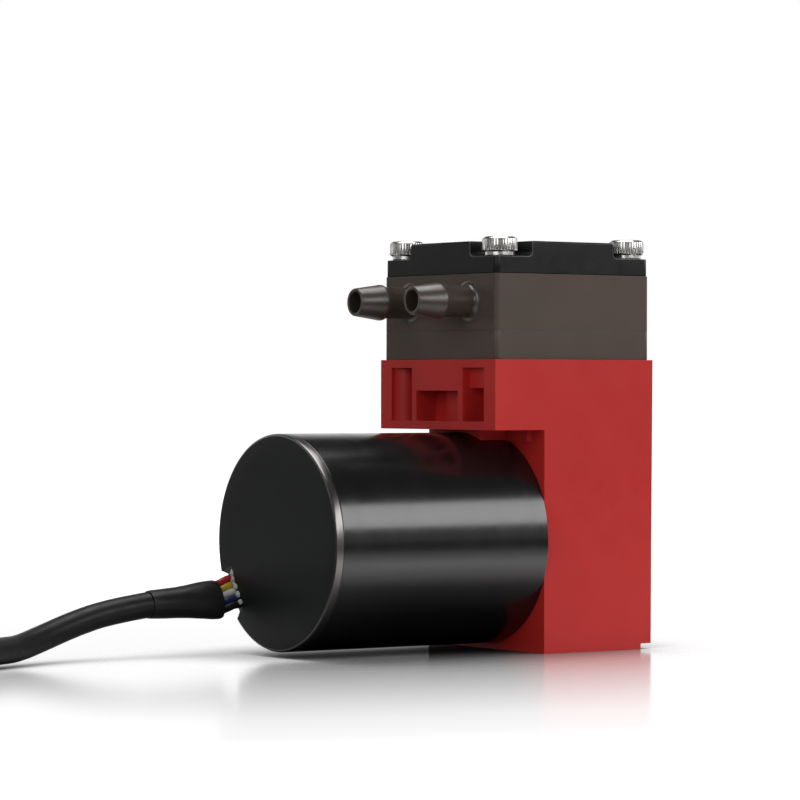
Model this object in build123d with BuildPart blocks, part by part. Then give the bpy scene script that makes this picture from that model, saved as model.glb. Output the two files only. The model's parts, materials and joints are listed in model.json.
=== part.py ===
from build123d import *
import os
from math import cos, pi, radians, sin, sqrt, tan

os.makedirs("parts", exist_ok=True)

# A micro diaphragm vacuum pump with a brushless motor. Millimetres, +Z up.
# The origin is on the base plane, under the centre of the diaphragm, and the motor
# lies along -X. The crank is at top dead centre at rest.

# Motor ------------------------------------------------------------------------------
MOTOR_DIAMETER = 33.4
MOTOR_GROUND_GAP = 0.9  # the motor's underside above the base plane
MOTOR_LENGTH = 39.6  # from the housing to the end face
CAN_WALL = 1.5
END_CAP_THICKNESS = 1.25
FLANGE_THICKNESS = 3.0
PILOT_RADIUS = 6.0
PILOT_GAP = 0.5  # between the pilot's end and the crank chamber
SHAFT_RADIUS = 2.0
MAIN_BEARING_OUTER = 10.0
MAIN_BEARING_WIDTH = 4.0
AIR_GAP = 0.4
MAGNET_WALL = 2.6
STATOR_SETBACK = 12.0  # from the motor's front face to the laminations
STATOR_BOARD_GAP = 5.15  # from the laminations to the circuit board's seat
TEETH = 6
TOOTH_WIDTH = 4.0
YOKE_THICKNESS = 2.2
COIL_THICKNESS = 1.5
COIL_DEPTH = 3.0  # of a winding, along its tooth
COIL_TIP_GAP = 1.2  # of bare tooth inside a winding
COIL_YOKE_GAP = 0.6
BOARD_THICKNESS = 1.2
SENSOR_SIZE = (1.6, 2.9, 1.0)
CHIP_SIZE = (5.0, 4.0, 0.9)
SPIGOT_LENGTH = 3.2
SPIGOT_WALL = 1.2
RIM_NOTCH_DEPTH = 1.9  # of the leads' notch, inwards from the can's inside
BALL_SHARE = 0.25  # a ball's radius over the room between a bearing's bore and its rim
LAND = 0.75  # share of the ball's radius between the pitch circle and each ring
MAIN_BALLS = 7
ROD_BALLS = 9

# Housing ----------------------------------------------------------------------------
BLOCK_SIZE = 31.0  # the square block under the head
BLOCK_HEIGHT = 11.0
MOTOR_TOP_GAP = 0.5  # between the motor and the block over it
FRONT_WALL = 2.8  # between the motor and the crank chamber
STEP_LENGTH = 2.3  # the raised step at the bottom of the rear face
STEP_HEIGHT = 0.9
REAR_DRAFT = 0.27
SADDLE_LENGTH = 5.7
SADDLE_WIDTH = 12.8
SADDLE_GAP = 0.1
LIP_WIDTH = 24.4
LIP_THICKNESS = 0.9
LIP_HEIGHT = 1.8
FOOT_HOLE_RADIUS = 1.25  # tapping size for M3
FOOT_HOLE_DEPTH = 6.0
FOOT_HOLE_SPACING = 23.0

# Pockets cored out of the block's face over the motor
POCKET_FLOOR = 1.3  # web under the pockets
SLOT_HEIGHT = 8.4
SLOT_INNER = 6.85  # half the distance between the two slots
SLOT_OUTER = 12.5
SLOT_DEPTH = 4.4
SLOT_STEP_DEPTH = 1.45
SLOT_STEP_HEIGHT = 3.2
RECESS_WIDTH = 11.2
RECESS_HEIGHT = 4.8
RECESS_DEPTH = 2.9
RECESS_WELL_WIDTH = 4.2
RECESS_WELL_DEPTH = 1.0
BOSS_WALL = 0.9  # plastic left around each head screw

# Crank drive ------------------------------------------------------------------------
ECCENTRICITY = 1.0
ROD_BEARING_BORE = 8.0
ROD_BEARING_OUTER = 14.0
ROD_BEARING_WIDTH = 4.0
ROD_WALL_GAP = 1.2  # between the rod and the front wall
COUNTERWEIGHT_RADIUS = 10.5
COUNTERWEIGHT_LENGTH = 4.5
COLLAR_LENGTH = 0.5
HUB_RADIUS = 5.5
CRANK_GAP = 1.5  # around the counterweight
ROD_RING_WALL = 2.2
ROD_WAIST = 7.0
ROD_NECK_RADIUS = 3.6
ROD_NECK_LENGTH = 4.2
ROD_PLATE_RADIUS = 7.0
ROD_PLATE_THICKNESS = 1.6
CLAMP_RADIUS = 6.5
CLAMP_THICKNESS = 1.1
CLAMP_SCREW_RADIUS = 1.25
CLAMP_SCREW_LENGTH = 8.0
SET_SCREW_RADIUS = 1.5
SET_SCREW_SETBACK = 0.3

# Head -------------------------------------------------------------------------------
DIAPHRAGM_THICKNESS = 1.2
DIAPHRAGM_RADIUS = 12.2
DIAPHRAGM_BORE = 10.5
DIAPHRAGM_HOLE = 1.4
HEAD_INSET = 0.4  # of the two plates, from the block's sides
CHAMBER_PLATE_HEIGHT = 4.5
HEAD_PLATE_HEIGHT = 8.8
COVER_INSET = 0.12
COVER_HEIGHT = 5.1
HEAD_CORNER_RADIUS = 0.8
WORKING_ROOF_GAP = 0.3  # over the clamp disc at top dead centre
VALVE_OFFSET = 6.2
VALVE_RADIUS = 2.9
VALVE_THICKNESS = 0.6
VALVE_LIFT = 0.3
VALVE_GAP = 0.05
VALVE_POCKET_GAP = 0.3
VALVE_PORT_RADIUS = 1.6
VENT_RADIUS = 0.65
VENT_CIRCLE = 2.1
VENTS = 4
SEAL_RADIUS = 12.0
SEAL_SECTION = 1.2
GASKET_RADIUS = 13.4
GASKET_THICKNESS = 0.8
GASKET_GAP = 0.1
AIR_CHAMBER_LENGTH = 15.0
AIR_CHAMBER_WIDTH = 7.8
AIR_CHAMBER_DEPTH = 1.4
AIR_CHAMBER_SPACING = 10.8
NOTCH_SIZE = 7.0
NOTCH_DEPTH = 2.4
NOTCH_CORNER_RADIUS = 1.5
NOTCH_FLOOR_RADIUS = 0.8
NOZZLE_OFFSET = 7.8
NOZZLE_HEIGHT = 4.5  # over the seam between the two plates
NOZZLE_LENGTH = 10.8
NOZZLE_BORE_RADIUS = 1.7
NOZZLE_SHANK_RADIUS = 2.475
NOZZLE_BARB_RADIUS = 2.825
NOZZLE_TIP_RADIUS = 2.15
NOZZLE_BARB_START = 5.2
NOZZLE_BARB_CREST = 5.8
NOZZLE_BARB_LAND = 0.5
NOZZLE_ROOT_RADIUS = 0.8

# Fasteners --------------------------------------------------------------------------
HEAD_SCREW_INSET = 3.0  # from the block's sides
HEAD_SCREW_RADIUS = 1.5
HEAD_SCREW_GRIP = 8.5  # length of thread in the housing
CAP_HEAD_RADIUS = 2.75
CAP_HEAD_HEIGHT = 3.0
CAP_NECK_RADIUS = 2.35
CAP_NECK_HEIGHT = 0.67
HEX_SIZE = 2.5
HEX_DEPTH = 1.5
SCREW_CLEARANCE = 0.1
MOTOR_SCREW_RADIUS = 1.25
MOTOR_SCREW_HEAD = 2.3
MOTOR_SCREW_CIRCLE = 9.4
MOTOR_SCREWS = 3
COVER_SCREW_RADIUS = 1.0
COVER_SCREW_HEAD = 1.8
COVER_SCREW_HEAD_HEIGHT = 0.9
COVER_SCREW_DEPTH = 5.0
COVER_SCREW_INSET = 2.3
REAR_COVER_WIDTH = 27.0
REAR_COVER_HEIGHT = 31.0
REAR_COVER_BOTTOM = 3.4
REAR_COVER_THICKNESS = 1.7
REAR_COVER_GAP = 0.1
REAR_COVER_RECESS = 0.6  # of the cover's face below the rear face
REAR_COVER_CORNER = 3.0
CHANNEL_WIDTH = 18.0
CHANNEL_LAND = 1.8  # between the crank chamber's top and the rear cover's edge

# Lead -------------------------------------------------------------------------------
LEAD_NAMES = ("red", "yellow", "white", "blue", "black")
LEAD_DIAMETER = 1.15
LEAD_PITCH = 1.2
LEAD_CAN_GAP = 0.05
LEAD_ROW_ANGLE = -33.0  # of the middle lead, about the motor's axis
LEAD_EXPOSED = 3.0  # length seen between the end cap and the sleeve
LEAD_DROP = 0.9  # of the leads over that length
NOTCH_START = -47.0
NOTCH_ARC = 29.0
GLUE_THICKNESS = 0.6
CABLE_DIAMETER = 4.0
BOOT_LENGTH = 12.4
BOOT_DROP = 0.7
BOOT_MOUTH_DEPTH = 1.5
BOOT_MOUTH = (3.55, 2.1)  # half axes of its oval mouth
BOOT_MIDDLE = (2.45, 2.05)
BOOT_WALL = 0.25
CABLE_POINTS = (
    (-68.0, 12.3, 7.2),
    (-74.5, 11.6, 5.6),
    (-80.5, 10.0, 3.9),
    (-86.5, 7.13, 2.6),
)
COIL_CENTRE = (-112.0, 15.5)
COIL_RADIUS = 20.0
COIL_LAYERS = 2
COIL_ENTRY_ANGLE = -60.0  # where the cable joins the coil; it leaves at 90 degrees
COIL_ENTRY_LENGTH = 13.4  # straight lengths of cable along the coil's tangents
COIL_EXIT_LENGTH = 4.0
TAIL_POINTS = ((-104.0, 35.5, 6.0), (-98.5, 35.3, 3.4), (-93.5, 35.0, 2.6))
TIE_WIDTH = 2.5
TIE_THICKNESS = 0.5
TIE_GAP = 0.1
CONNECTOR_PITCH = 2.0
CONNECTOR_LENGTH = 8.0
CONNECTOR_HEIGHT = 4.8
CONNECTOR_WALL = 1.0
CONNECTOR_LEADS = 5.0
CONTACT_LENGTH = 5.0

# Places worked out from the sizes ---------------------------------------------------
MOTOR_RADIUS = MOTOR_DIAMETER / 2
MOTOR_Z = MOTOR_RADIUS + MOTOR_GROUND_GAP
CAN_INSIDE = MOTOR_RADIUS - CAN_WALL
BLOCK_BOTTOM = MOTOR_Z + MOTOR_RADIUS + MOTOR_TOP_GAP
BLOCK_TOP = BLOCK_BOTTOM + BLOCK_HEIGHT
REAR = BLOCK_SIZE / 2
COLUMN_FRONT = -(ROD_BEARING_WIDTH / 2 + ROD_WALL_GAP + FRONT_WALL)
CHAMBER_FRONT = COLUMN_FRONT + FRONT_WALL
CHAMBER_RADIUS = COUNTERWEIGHT_RADIUS + CRANK_GAP
REBATE_FLOOR = REAR - REAR_COVER_THICKNESS - REAR_COVER_RECESS
REAR_COVER_Z = REAR_COVER_BOTTOM + REAR_COVER_HEIGHT / 2
CHANNEL_TOP = REAR_COVER_BOTTOM + REAR_COVER_HEIGHT - CHANNEL_LAND
BORE_FLOOR = BLOCK_BOTTOM + 2.2
SEAM_Z = BLOCK_TOP + CHAMBER_PLATE_HEIGHT
HEAD_TOP = SEAM_Z + HEAD_PLATE_HEIGHT
COVER_TOP = HEAD_TOP + COVER_HEIGHT
NOTCH_FLOOR = COVER_TOP - NOTCH_DEPTH
HEAD_SIZE = BLOCK_SIZE - 2 * HEAD_INSET
HEAD_FACE = -HEAD_SIZE / 2
NOZZLE_Z = SEAM_Z + NOZZLE_HEIGHT
CRANK_Z = MOTOR_Z + ECCENTRICITY
WEB_BOTTOM = BLOCK_TOP - DIAPHRAGM_THICKNESS + ECCENTRICITY
WEB_TOP = WEB_BOTTOM + DIAPHRAGM_THICKNESS
ROOF_Z = WEB_TOP + CLAMP_THICKNESS + WORKING_ROOF_GAP
VALVE_POCKET_DEPTH = VALVE_THICKNESS + VALVE_LIFT + 2 * VALVE_GAP
VALVE_POCKET_RADIUS = VALVE_RADIUS + VALVE_POCKET_GAP
HEAD_SCREW_SPACING = BLOCK_SIZE - 2 * HEAD_SCREW_INSET
MOTOR_BACK = COLUMN_FRONT - MOTOR_LENGTH
CAP_SEAM = MOTOR_BACK + END_CAP_THICKNESS
PILOT_END = CHAMBER_FRONT - PILOT_GAP
FRONT_BEARING_X = PILOT_END - 1.0 - MAIN_BEARING_WIDTH / 2
REAR_BEARING_X = CAP_SEAM + MAIN_BEARING_WIDTH / 2
BOARD_X = CAP_SEAM + SPIGOT_LENGTH
STATOR_FRONT = COLUMN_FRONT - STATOR_SETBACK
STATOR_LENGTH = STATOR_FRONT - BOARD_X - STATOR_BOARD_GAP
STATOR_MIDDLE = STATOR_FRONT - STATOR_LENGTH / 2
YOKE_INSIDE = CAN_INSIDE - YOKE_THICKNESS
COIL_OUTSIDE = YOKE_INSIDE - COIL_YOKE_GAP
COIL_INSIDE = COIL_OUTSIDE - COIL_DEPTH
TOOTH_TIP = COIL_INSIDE - COIL_TIP_GAP
MAGNET_RADIUS = TOOTH_TIP - AIR_GAP
CRANK_BACK = ROD_BEARING_WIDTH / 2 + COLLAR_LENGTH
SHAFT_END = CRANK_BACK + COUNTERWEIGHT_LENGTH + 0.5
SET_SCREW_X = CRANK_BACK + COUNTERWEIGHT_LENGTH / 2
CABLE_RADIUS = CABLE_DIAMETER / 2
CABLE_END_Z = CABLE_POINTS[-1][2]
COIL_TOP_Z = CABLE_END_Z + (COIL_LAYERS - 1) * CABLE_DIAMETER
MOTOR_LINE = Axis((0, 0, MOTOR_Z), (1, 0, 0))


def across(x, z=0.0):
    """A plane square to X. Its own x is Y, its own y is Z, and it faces +X."""
    return Plane(origin=(x, 0, z), x_dir=(0, 1, 0), z_dir=(1, 0, 0))


def outline(points, plane):
    """A closed outline of straight sides."""
    with BuildSketch(plane) as shape:
        with BuildLine():
            Polyline(*points, close=True)
        make_face()
    return shape.sketch


def turned(points, z=MOTOR_Z):
    """A solid turned about a line along X, from the (X, radius) corners of its half section."""
    half = outline(points, Plane(origin=(0, 0, z), x_dir=(1, 0, 0), z_dir=(0, -1, 0)))
    return revolve(half, axis=Axis((0, 0, z), (1, 0, 0)), mode=Mode.PRIVATE)


def upright(points, x=0.0, y=0.0):
    """A solid turned about a vertical line, from the (radius, Z) corners of its half section."""
    half = outline(points, Plane(origin=(x, y, 0), x_dir=(1, 0, 0), z_dir=(0, -1, 0)))
    return revolve(half, axis=Axis((x, y, 0), (0, 0, 1)), mode=Mode.PRIVATE)


def arc_radii(points):
    """The radius at each corner of a route, as large as its two runs allow."""
    corners = [Vector(*point) for point in points]
    radii = []
    for before, corner, after in zip(corners, corners[1:], corners[2:]):
        run_in, run_out = corner - before, after - corner
        shorter = min(run_in.length, run_out.length)
        radii.append(0.45 * shorter / tan(radians(run_in.get_angle(run_out) / 2)))
    return radii


def tube(points, diameter):
    """A round solid along straight runs joined by tangent arcs."""
    with BuildLine() as route:
        FilletPolyline(*points, radius=arc_radii(points))
    with BuildSketch(Plane(origin=route.line @ 0, z_dir=route.line % 0)) as section:
        Circle(diameter / 2)
    return sweep(section.sketch, path=route.line, mode=Mode.PRIVATE)


# Housing: a column that holds the crank, with a block on top that reaches over the motor
HOUSING_SIDE = (
    (COLUMN_FRONT, 0),
    (REAR - STEP_LENGTH, 0),
    (REAR - STEP_LENGTH, STEP_HEIGHT),
    (REAR - REAR_DRAFT, STEP_HEIGHT),
    (REAR, BLOCK_TOP),
    (-REAR, BLOCK_TOP),
    (-REAR, BLOCK_BOTTOM),
    (COLUMN_FRONT, BLOCK_BOTTOM),
)
REAR_COVER_CORNERS = (
    REAR_COVER_WIDTH - 2 * COVER_SCREW_INSET,
    REAR_COVER_HEIGHT - 2 * COVER_SCREW_INSET,
)

with BuildPart() as housing:
    extrude(outline(HOUSING_SIDE, Plane.XZ), amount=BLOCK_SIZE / 2, both=True)

    # A saddle and a lip under the block, cut to the motor's round
    with BuildSketch(Plane.XY.offset(BLOCK_BOTTOM)):
        with Locations((COLUMN_FRONT - SADDLE_LENGTH / 2, 0)):
            Rectangle(SADDLE_LENGTH, SADDLE_WIDTH)
        with Locations((COLUMN_FRONT - LIP_THICKNESS / 2, 0)):
            Rectangle(LIP_THICKNESS, LIP_WIDTH)
    extrude(amount=-LIP_HEIGHT)
    with BuildSketch(across(COLUMN_FRONT, MOTOR_Z)):
        Circle(MOTOR_RADIUS + SADDLE_GAP)
    extrude(amount=-SADDLE_LENGTH - 1, mode=Mode.SUBTRACT)

    # The crank chamber opens to the rear, and the diaphragm's bore meets it from above
    with BuildSketch(across(CHAMBER_FRONT)):
        with Locations((0, MOTOR_Z)):
            Circle(CHAMBER_RADIUS)
        with Locations((0, (MOTOR_Z + CHANNEL_TOP) / 2)):
            Rectangle(CHANNEL_WIDTH, CHANNEL_TOP - MOTOR_Z)
    extrude(amount=REAR + 1 - CHAMBER_FRONT, mode=Mode.SUBTRACT)
    with BuildSketch(Plane.XY.offset(BLOCK_TOP)):
        Circle(DIAPHRAGM_BORE)
    extrude(amount=-(BLOCK_TOP - BORE_FLOOR), mode=Mode.SUBTRACT)
    with BuildSketch(Plane.XY.offset(BLOCK_TOP)):
        Circle(DIAPHRAGM_RADIUS)
    extrude(amount=-DIAPHRAGM_THICKNESS, mode=Mode.SUBTRACT)
    with BuildSketch(Plane.XY.offset(BORE_FLOOR)):
        Circle(DIAPHRAGM_BORE)
        with Locations((CHAMBER_FRONT - DIAPHRAGM_BORE, 0)):
            Rectangle(2 * DIAPHRAGM_BORE, 2 * DIAPHRAGM_BORE, mode=Mode.SUBTRACT)
    extrude(amount=-(BORE_FLOOR - CHANNEL_TOP) - 1.5, mode=Mode.SUBTRACT)

    # Rebate and screw holes for the rear cover
    with BuildSketch(across(REBATE_FLOOR, REAR_COVER_Z)):
        RectangleRounded(REAR_COVER_WIDTH, REAR_COVER_HEIGHT, REAR_COVER_CORNER)
    extrude(amount=REAR + 1 - REBATE_FLOOR, mode=Mode.SUBTRACT)
    with Locations(across(REBATE_FLOOR, REAR_COVER_Z).location):
        with GridLocations(*REAR_COVER_CORNERS, 2, 2):
            Hole(COVER_SCREW_RADIUS, depth=COVER_SCREW_DEPTH)

    # Pilot hole and countersunk screw holes for the motor
    with Locations(across(CHAMBER_FRONT, MOTOR_Z).location):
        Hole(PILOT_RADIUS, depth=FRONT_WALL)
        with PolarLocations(MOTOR_SCREW_CIRCLE, MOTOR_SCREWS, start_angle=90):
            CounterSinkHole(MOTOR_SCREW_RADIUS, MOTOR_SCREW_HEAD, depth=FRONT_WALL, counter_sink_angle=90)

    # Pockets in the face over the motor, with a round boss left about each head screw
    slot_width = SLOT_OUTER - SLOT_INNER
    for side in (-1, 1):
        with BuildSketch(Plane.XY.offset(BLOCK_BOTTOM + POCKET_FLOOR)):
            with Locations((-REAR + SLOT_DEPTH / 2, side * (SLOT_INNER + slot_width / 2))):
                Rectangle(SLOT_DEPTH, slot_width)
            with Locations((-HEAD_SCREW_SPACING / 2, side * HEAD_SCREW_SPACING / 2)):
                Circle(HEAD_SCREW_RADIUS + BOSS_WALL, mode=Mode.SUBTRACT)
        extrude(amount=SLOT_HEIGHT, mode=Mode.SUBTRACT)
    recess_z = BLOCK_BOTTOM + POCKET_FLOOR + RECESS_HEIGHT / 2
    with BuildSketch(across(-REAR, recess_z)):
        Rectangle(RECESS_WIDTH, RECESS_HEIGHT)
    extrude(amount=RECESS_DEPTH, mode=Mode.SUBTRACT)
    with BuildSketch(across(-REAR + RECESS_DEPTH, recess_z)):
        with Locations(((RECESS_WIDTH - RECESS_WELL_WIDTH) / 2, 0)):
            Rectangle(RECESS_WELL_WIDTH, RECESS_HEIGHT)
    extrude(amount=RECESS_WELL_DEPTH, mode=Mode.SUBTRACT)

    # The near slot is shallow at its top
    step_z = BLOCK_BOTTOM + POCKET_FLOOR + SLOT_HEIGHT - SLOT_STEP_HEIGHT / 2
    with BuildSketch(across(-REAR + SLOT_STEP_DEPTH, step_z)):
        with Locations((-(SLOT_INNER + slot_width / 2), 0)):
            Rectangle(slot_width, SLOT_STEP_HEIGHT)
    extrude(amount=SLOT_DEPTH - SLOT_STEP_DEPTH)

    # Head screw holes, and the two tapped holes in the foot
    with Locations((0, 0, BLOCK_TOP)):
        with GridLocations(HEAD_SCREW_SPACING, HEAD_SCREW_SPACING, 2, 2):
            Hole(HEAD_SCREW_RADIUS, depth=HEAD_SCREW_GRIP + 0.5)
    with Locations(Location(((COLUMN_FRONT + REAR - STEP_LENGTH) / 2, 0, 0), (180, 0, 0))):
        with GridLocations(1, FOOT_HOLE_SPACING, 1, 2):
            Hole(FOOT_HOLE_RADIUS, depth=FOOT_HOLE_DEPTH)
housing.part.label = "housing"
export_step(housing.part, "parts/housing.step")

# Rear cover of the crank chamber
with BuildPart() as rear_cover:
    with BuildSketch(across(REBATE_FLOOR, REAR_COVER_Z)):
        RectangleRounded(
            REAR_COVER_WIDTH - 2 * REAR_COVER_GAP,
            REAR_COVER_HEIGHT - 2 * REAR_COVER_GAP,
            REAR_COVER_CORNER - REAR_COVER_GAP,
        )
    extrude(amount=REAR_COVER_THICKNESS)
    fillet(rear_cover.faces().sort_by(Axis.X)[-1].edges(), REAR_COVER_THICKNESS / 4)
    with Locations(across(REBATE_FLOOR + REAR_COVER_THICKNESS, REAR_COVER_Z).location):
        with GridLocations(*REAR_COVER_CORNERS, 2, 2):
            CounterBoreHole(
                COVER_SCREW_RADIUS + SCREW_CLEARANCE,
                COVER_SCREW_HEAD + 2 * SCREW_CLEARANCE,
                COVER_SCREW_HEAD_HEIGHT,
                depth=REAR_COVER_THICKNESS,
            )
rear_cover.part.label = "rear_cover"
export_step(rear_cover.part, "parts/rear_cover.step")

with BuildPart() as rear_cover_screws:
    seat = REBATE_FLOOR + REAR_COVER_THICKNESS - COVER_SCREW_HEAD_HEIGHT
    with BuildSketch(across(seat, REAR_COVER_Z)):
        with GridLocations(*REAR_COVER_CORNERS, 2, 2):
            Circle(COVER_SCREW_HEAD)
    extrude(amount=COVER_SCREW_HEAD_HEIGHT)
    with BuildSketch(across(seat, REAR_COVER_Z)):
        with GridLocations(*REAR_COVER_CORNERS, 2, 2):
            Circle(COVER_SCREW_RADIUS)
    extrude(amount=REBATE_FLOOR - COVER_SCREW_DEPTH + 0.5 - seat)
    with BuildSketch(across(seat + COVER_SCREW_HEAD_HEIGHT, REAR_COVER_Z)):
        with GridLocations(*REAR_COVER_CORNERS, 2, 2):
            Rectangle(2 * COVER_SCREW_RADIUS, COVER_SCREW_RADIUS / 2)
            Rectangle(COVER_SCREW_RADIUS / 2, 2 * COVER_SCREW_RADIUS)
    extrude(amount=-COVER_SCREW_HEAD_HEIGHT / 2, mode=Mode.SUBTRACT)
rear_cover_screws.part.label = "rear_cover_screws"
export_step(rear_cover_screws.part, "parts/rear_cover_screws.step")

# Motor: the can, its front flange with the pilot, and the end cap
CAN_EDGE = 0.2
with BuildPart() as motor_can:
    add(turned((
        (COLUMN_FRONT, CAN_INSIDE),
        (COLUMN_FRONT, MOTOR_RADIUS - CAN_EDGE),
        (COLUMN_FRONT - CAN_EDGE, MOTOR_RADIUS),
        (CAP_SEAM + CAN_EDGE, MOTOR_RADIUS),
        (CAP_SEAM, MOTOR_RADIUS - CAN_EDGE),
        (CAP_SEAM, CAN_INSIDE),
    )))
motor_can.part.label = "motor_can"
export_step(motor_can.part, "parts/motor_can.step")

with BuildPart() as motor_flange:
    bearing_back = FRONT_BEARING_X - MAIN_BEARING_WIDTH / 2
    bearing_front = FRONT_BEARING_X + MAIN_BEARING_WIDTH / 2
    add(turned((
        (COLUMN_FRONT, PILOT_RADIUS),
        (COLUMN_FRONT, CAN_INSIDE),
        (COLUMN_FRONT - FLANGE_THICKNESS, CAN_INSIDE),
        (COLUMN_FRONT - FLANGE_THICKNESS, PILOT_RADIUS + 1.5),
        (bearing_back, PILOT_RADIUS + 1.5),
        (bearing_back, MAIN_BEARING_OUTER / 2),
        (bearing_front, MAIN_BEARING_OUTER / 2),
        (bearing_front, SHAFT_RADIUS + 0.6),
        (PILOT_END, SHAFT_RADIUS + 0.6),
        (PILOT_END, PILOT_RADIUS),
    )))
    with Locations(across(COLUMN_FRONT, MOTOR_Z).location):
        with PolarLocations(MOTOR_SCREW_CIRCLE, MOTOR_SCREWS, start_angle=90):
            Hole(MOTOR_SCREW_RADIUS, depth=FLANGE_THICKNESS)
motor_flange.part.label = "motor_flange"
export_step(motor_flange.part, "parts/motor_flange.step")

CAP_EDGE = 0.45
CAP_BOSS_RADIUS = MAIN_BEARING_OUTER / 2 + 1.2
with BuildPart() as motor_end_cap:
    add(turned((
        (MOTOR_BACK, 0),
        (MOTOR_BACK, MOTOR_RADIUS - CAP_EDGE),
        (MOTOR_BACK + CAP_EDGE, MOTOR_RADIUS),
        (CAP_SEAM - CAN_EDGE, MOTOR_RADIUS),
        (CAP_SEAM, MOTOR_RADIUS - CAN_EDGE),
        (CAP_SEAM, CAN_INSIDE),
        (BOARD_X, CAN_INSIDE),
        (BOARD_X, CAN_INSIDE - SPIGOT_WALL),
        (CAP_SEAM, CAN_INSIDE - SPIGOT_WALL),
        (CAP_SEAM, CAP_BOSS_RADIUS),
        (CAP_SEAM + MAIN_BEARING_WIDTH, CAP_BOSS_RADIUS),
        (CAP_SEAM + MAIN_BEARING_WIDTH, MAIN_BEARING_OUTER / 2),
        (CAP_SEAM, MAIN_BEARING_OUTER / 2),
        (CAP_SEAM, 0),
    )))
    # A notch in the rim lets the leads out
    with BuildSketch(across(MOTOR_BACK, MOTOR_Z)):
        with BuildLine():
            inner = CenterArc((0, 0), CAN_INSIDE - RIM_NOTCH_DEPTH, NOTCH_START, NOTCH_ARC)
            outer = CenterArc((0, 0), MOTOR_RADIUS + 1, NOTCH_START, NOTCH_ARC)
            Line(inner @ 0, outer @ 0)
            Line(inner @ 1, outer @ 1)
        make_face()
    extrude(amount=END_CAP_THICKNESS + SPIGOT_LENGTH, mode=Mode.SUBTRACT)
motor_end_cap.part.label = "motor_end_cap"
export_step(motor_end_cap.part, "parts/motor_end_cap.step")

with BuildPart() as motor_mount_screws:
    with Locations(across(CHAMBER_FRONT, MOTOR_Z).location):
        with PolarLocations(MOTOR_SCREW_CIRCLE, MOTOR_SCREWS, start_angle=90):
            shank = FRONT_WALL + FLANGE_THICKNESS
            cone = MOTOR_SCREW_HEAD - MOTOR_SCREW_RADIUS
            align = (Align.CENTER, Align.CENTER, Align.MAX)
            Cylinder(MOTOR_SCREW_RADIUS, shank, align=align)
            Cone(MOTOR_SCREW_RADIUS, MOTOR_SCREW_HEAD, cone, align=align)
            Box(0.5, 2.6, 0.5, align=align, mode=Mode.SUBTRACT)
            Box(2.6, 0.5, 0.5, align=align, mode=Mode.SUBTRACT)
motor_mount_screws.part.label = "motor_mount_screws"
export_step(motor_mount_screws.part, "parts/motor_mount_screws.step")

# Stator: a ring of laminations with inward teeth, and a coil wound about each tooth
with BuildPart() as stator_core:
    with BuildSketch(across(STATOR_MIDDLE, MOTOR_Z)):
        Circle(CAN_INSIDE)
        Circle(YOKE_INSIDE, mode=Mode.SUBTRACT)
        with PolarLocations((TOOTH_TIP + YOKE_INSIDE) / 2, TEETH):
            Rectangle(YOKE_INSIDE - TOOTH_TIP + 1, TOOTH_WIDTH)
        Circle(TOOTH_TIP, mode=Mode.SUBTRACT)
    extrude(amount=STATOR_LENGTH / 2, both=True)
stator_core.part.label = "stator_core"
export_step(stator_core.part, "parts/stator_core.step")

with BuildPart() as stator_windings:
    with Locations(across(STATOR_MIDDLE, MOTOR_Z).location):
        with PolarLocations((COIL_INSIDE + COIL_OUTSIDE) / 2, TEETH):
            Box(COIL_DEPTH, TOOTH_WIDTH + 2 * COIL_THICKNESS, STATOR_LENGTH + 2 * COIL_THICKNESS)
            Box(COIL_DEPTH, TOOTH_WIDTH, STATOR_LENGTH, mode=Mode.SUBTRACT)
    long_edges = stator_windings.edges().filter_by(lambda e: e.length > STATOR_LENGTH + 0.1)
    fillet(long_edges.filter_by(Axis.X), COIL_THICKNESS / 3)
stator_windings.part.label = "stator_windings"
export_step(stator_windings.part, "parts/stator_windings.step")

# Control board on the end cap's spigot, with its position sensors and driver chip
with BuildPart() as circuit_board:
    with BuildSketch(across(BOARD_X, MOTOR_Z)):
        Circle(CAN_INSIDE - 0.1)
        Circle(CAP_BOSS_RADIUS + 0.3, mode=Mode.SUBTRACT)
    extrude(amount=BOARD_THICKNESS)
circuit_board.part.label = "circuit_board"
export_step(circuit_board.part, "parts/circuit_board.step")

with BuildPart() as hall_sensors:
    with Locations(across(BOARD_X + BOARD_THICKNESS, MOTOR_Z).location):
        with PolarLocations((CAP_BOSS_RADIUS + CAN_INSIDE) / 2 - 1.5, 3, start_angle=30):
            Box(*SENSOR_SIZE, align=(Align.CENTER, Align.CENTER, Align.MIN))
hall_sensors.part.label = "hall_sensors"
export_step(hall_sensors.part, "parts/hall_sensors.step")

with BuildPart() as driver_chip:
    with Locations(across(BOARD_X + BOARD_THICKNESS, MOTOR_Z).location):
        with Locations((0, (CAP_BOSS_RADIUS + CAN_INSIDE) / 2)):
            Box(*CHIP_SIZE, align=(Align.CENTER, Align.CENTER, Align.MIN))
driver_chip.part.label = "driver_chip"
export_step(driver_chip.part, "parts/driver_chip.step")


# Ball bearings, each as an inner ring, an outer ring and its balls
def bearing_ring(inside, outside, pitch, ball, width, x, z):
    """One ring of a bearing, grooved for the balls."""
    with BuildPart() as ring:
        with BuildSketch(across(x, z)):
            Circle(outside)
            Circle(inside, mode=Mode.SUBTRACT)
        extrude(amount=width / 2, both=True)
        with Locations(across(x, z).location):
            Torus(pitch, ball + 0.05, mode=Mode.SUBTRACT)
    return ring


def bearing_balls(pitch, ball, count, x, z):
    """The balls of a bearing, evenly spaced."""
    with BuildPart() as balls:
        with Locations(across(x, z).location):
            with PolarLocations(pitch, count):
                Sphere(ball)
    return balls


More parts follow.
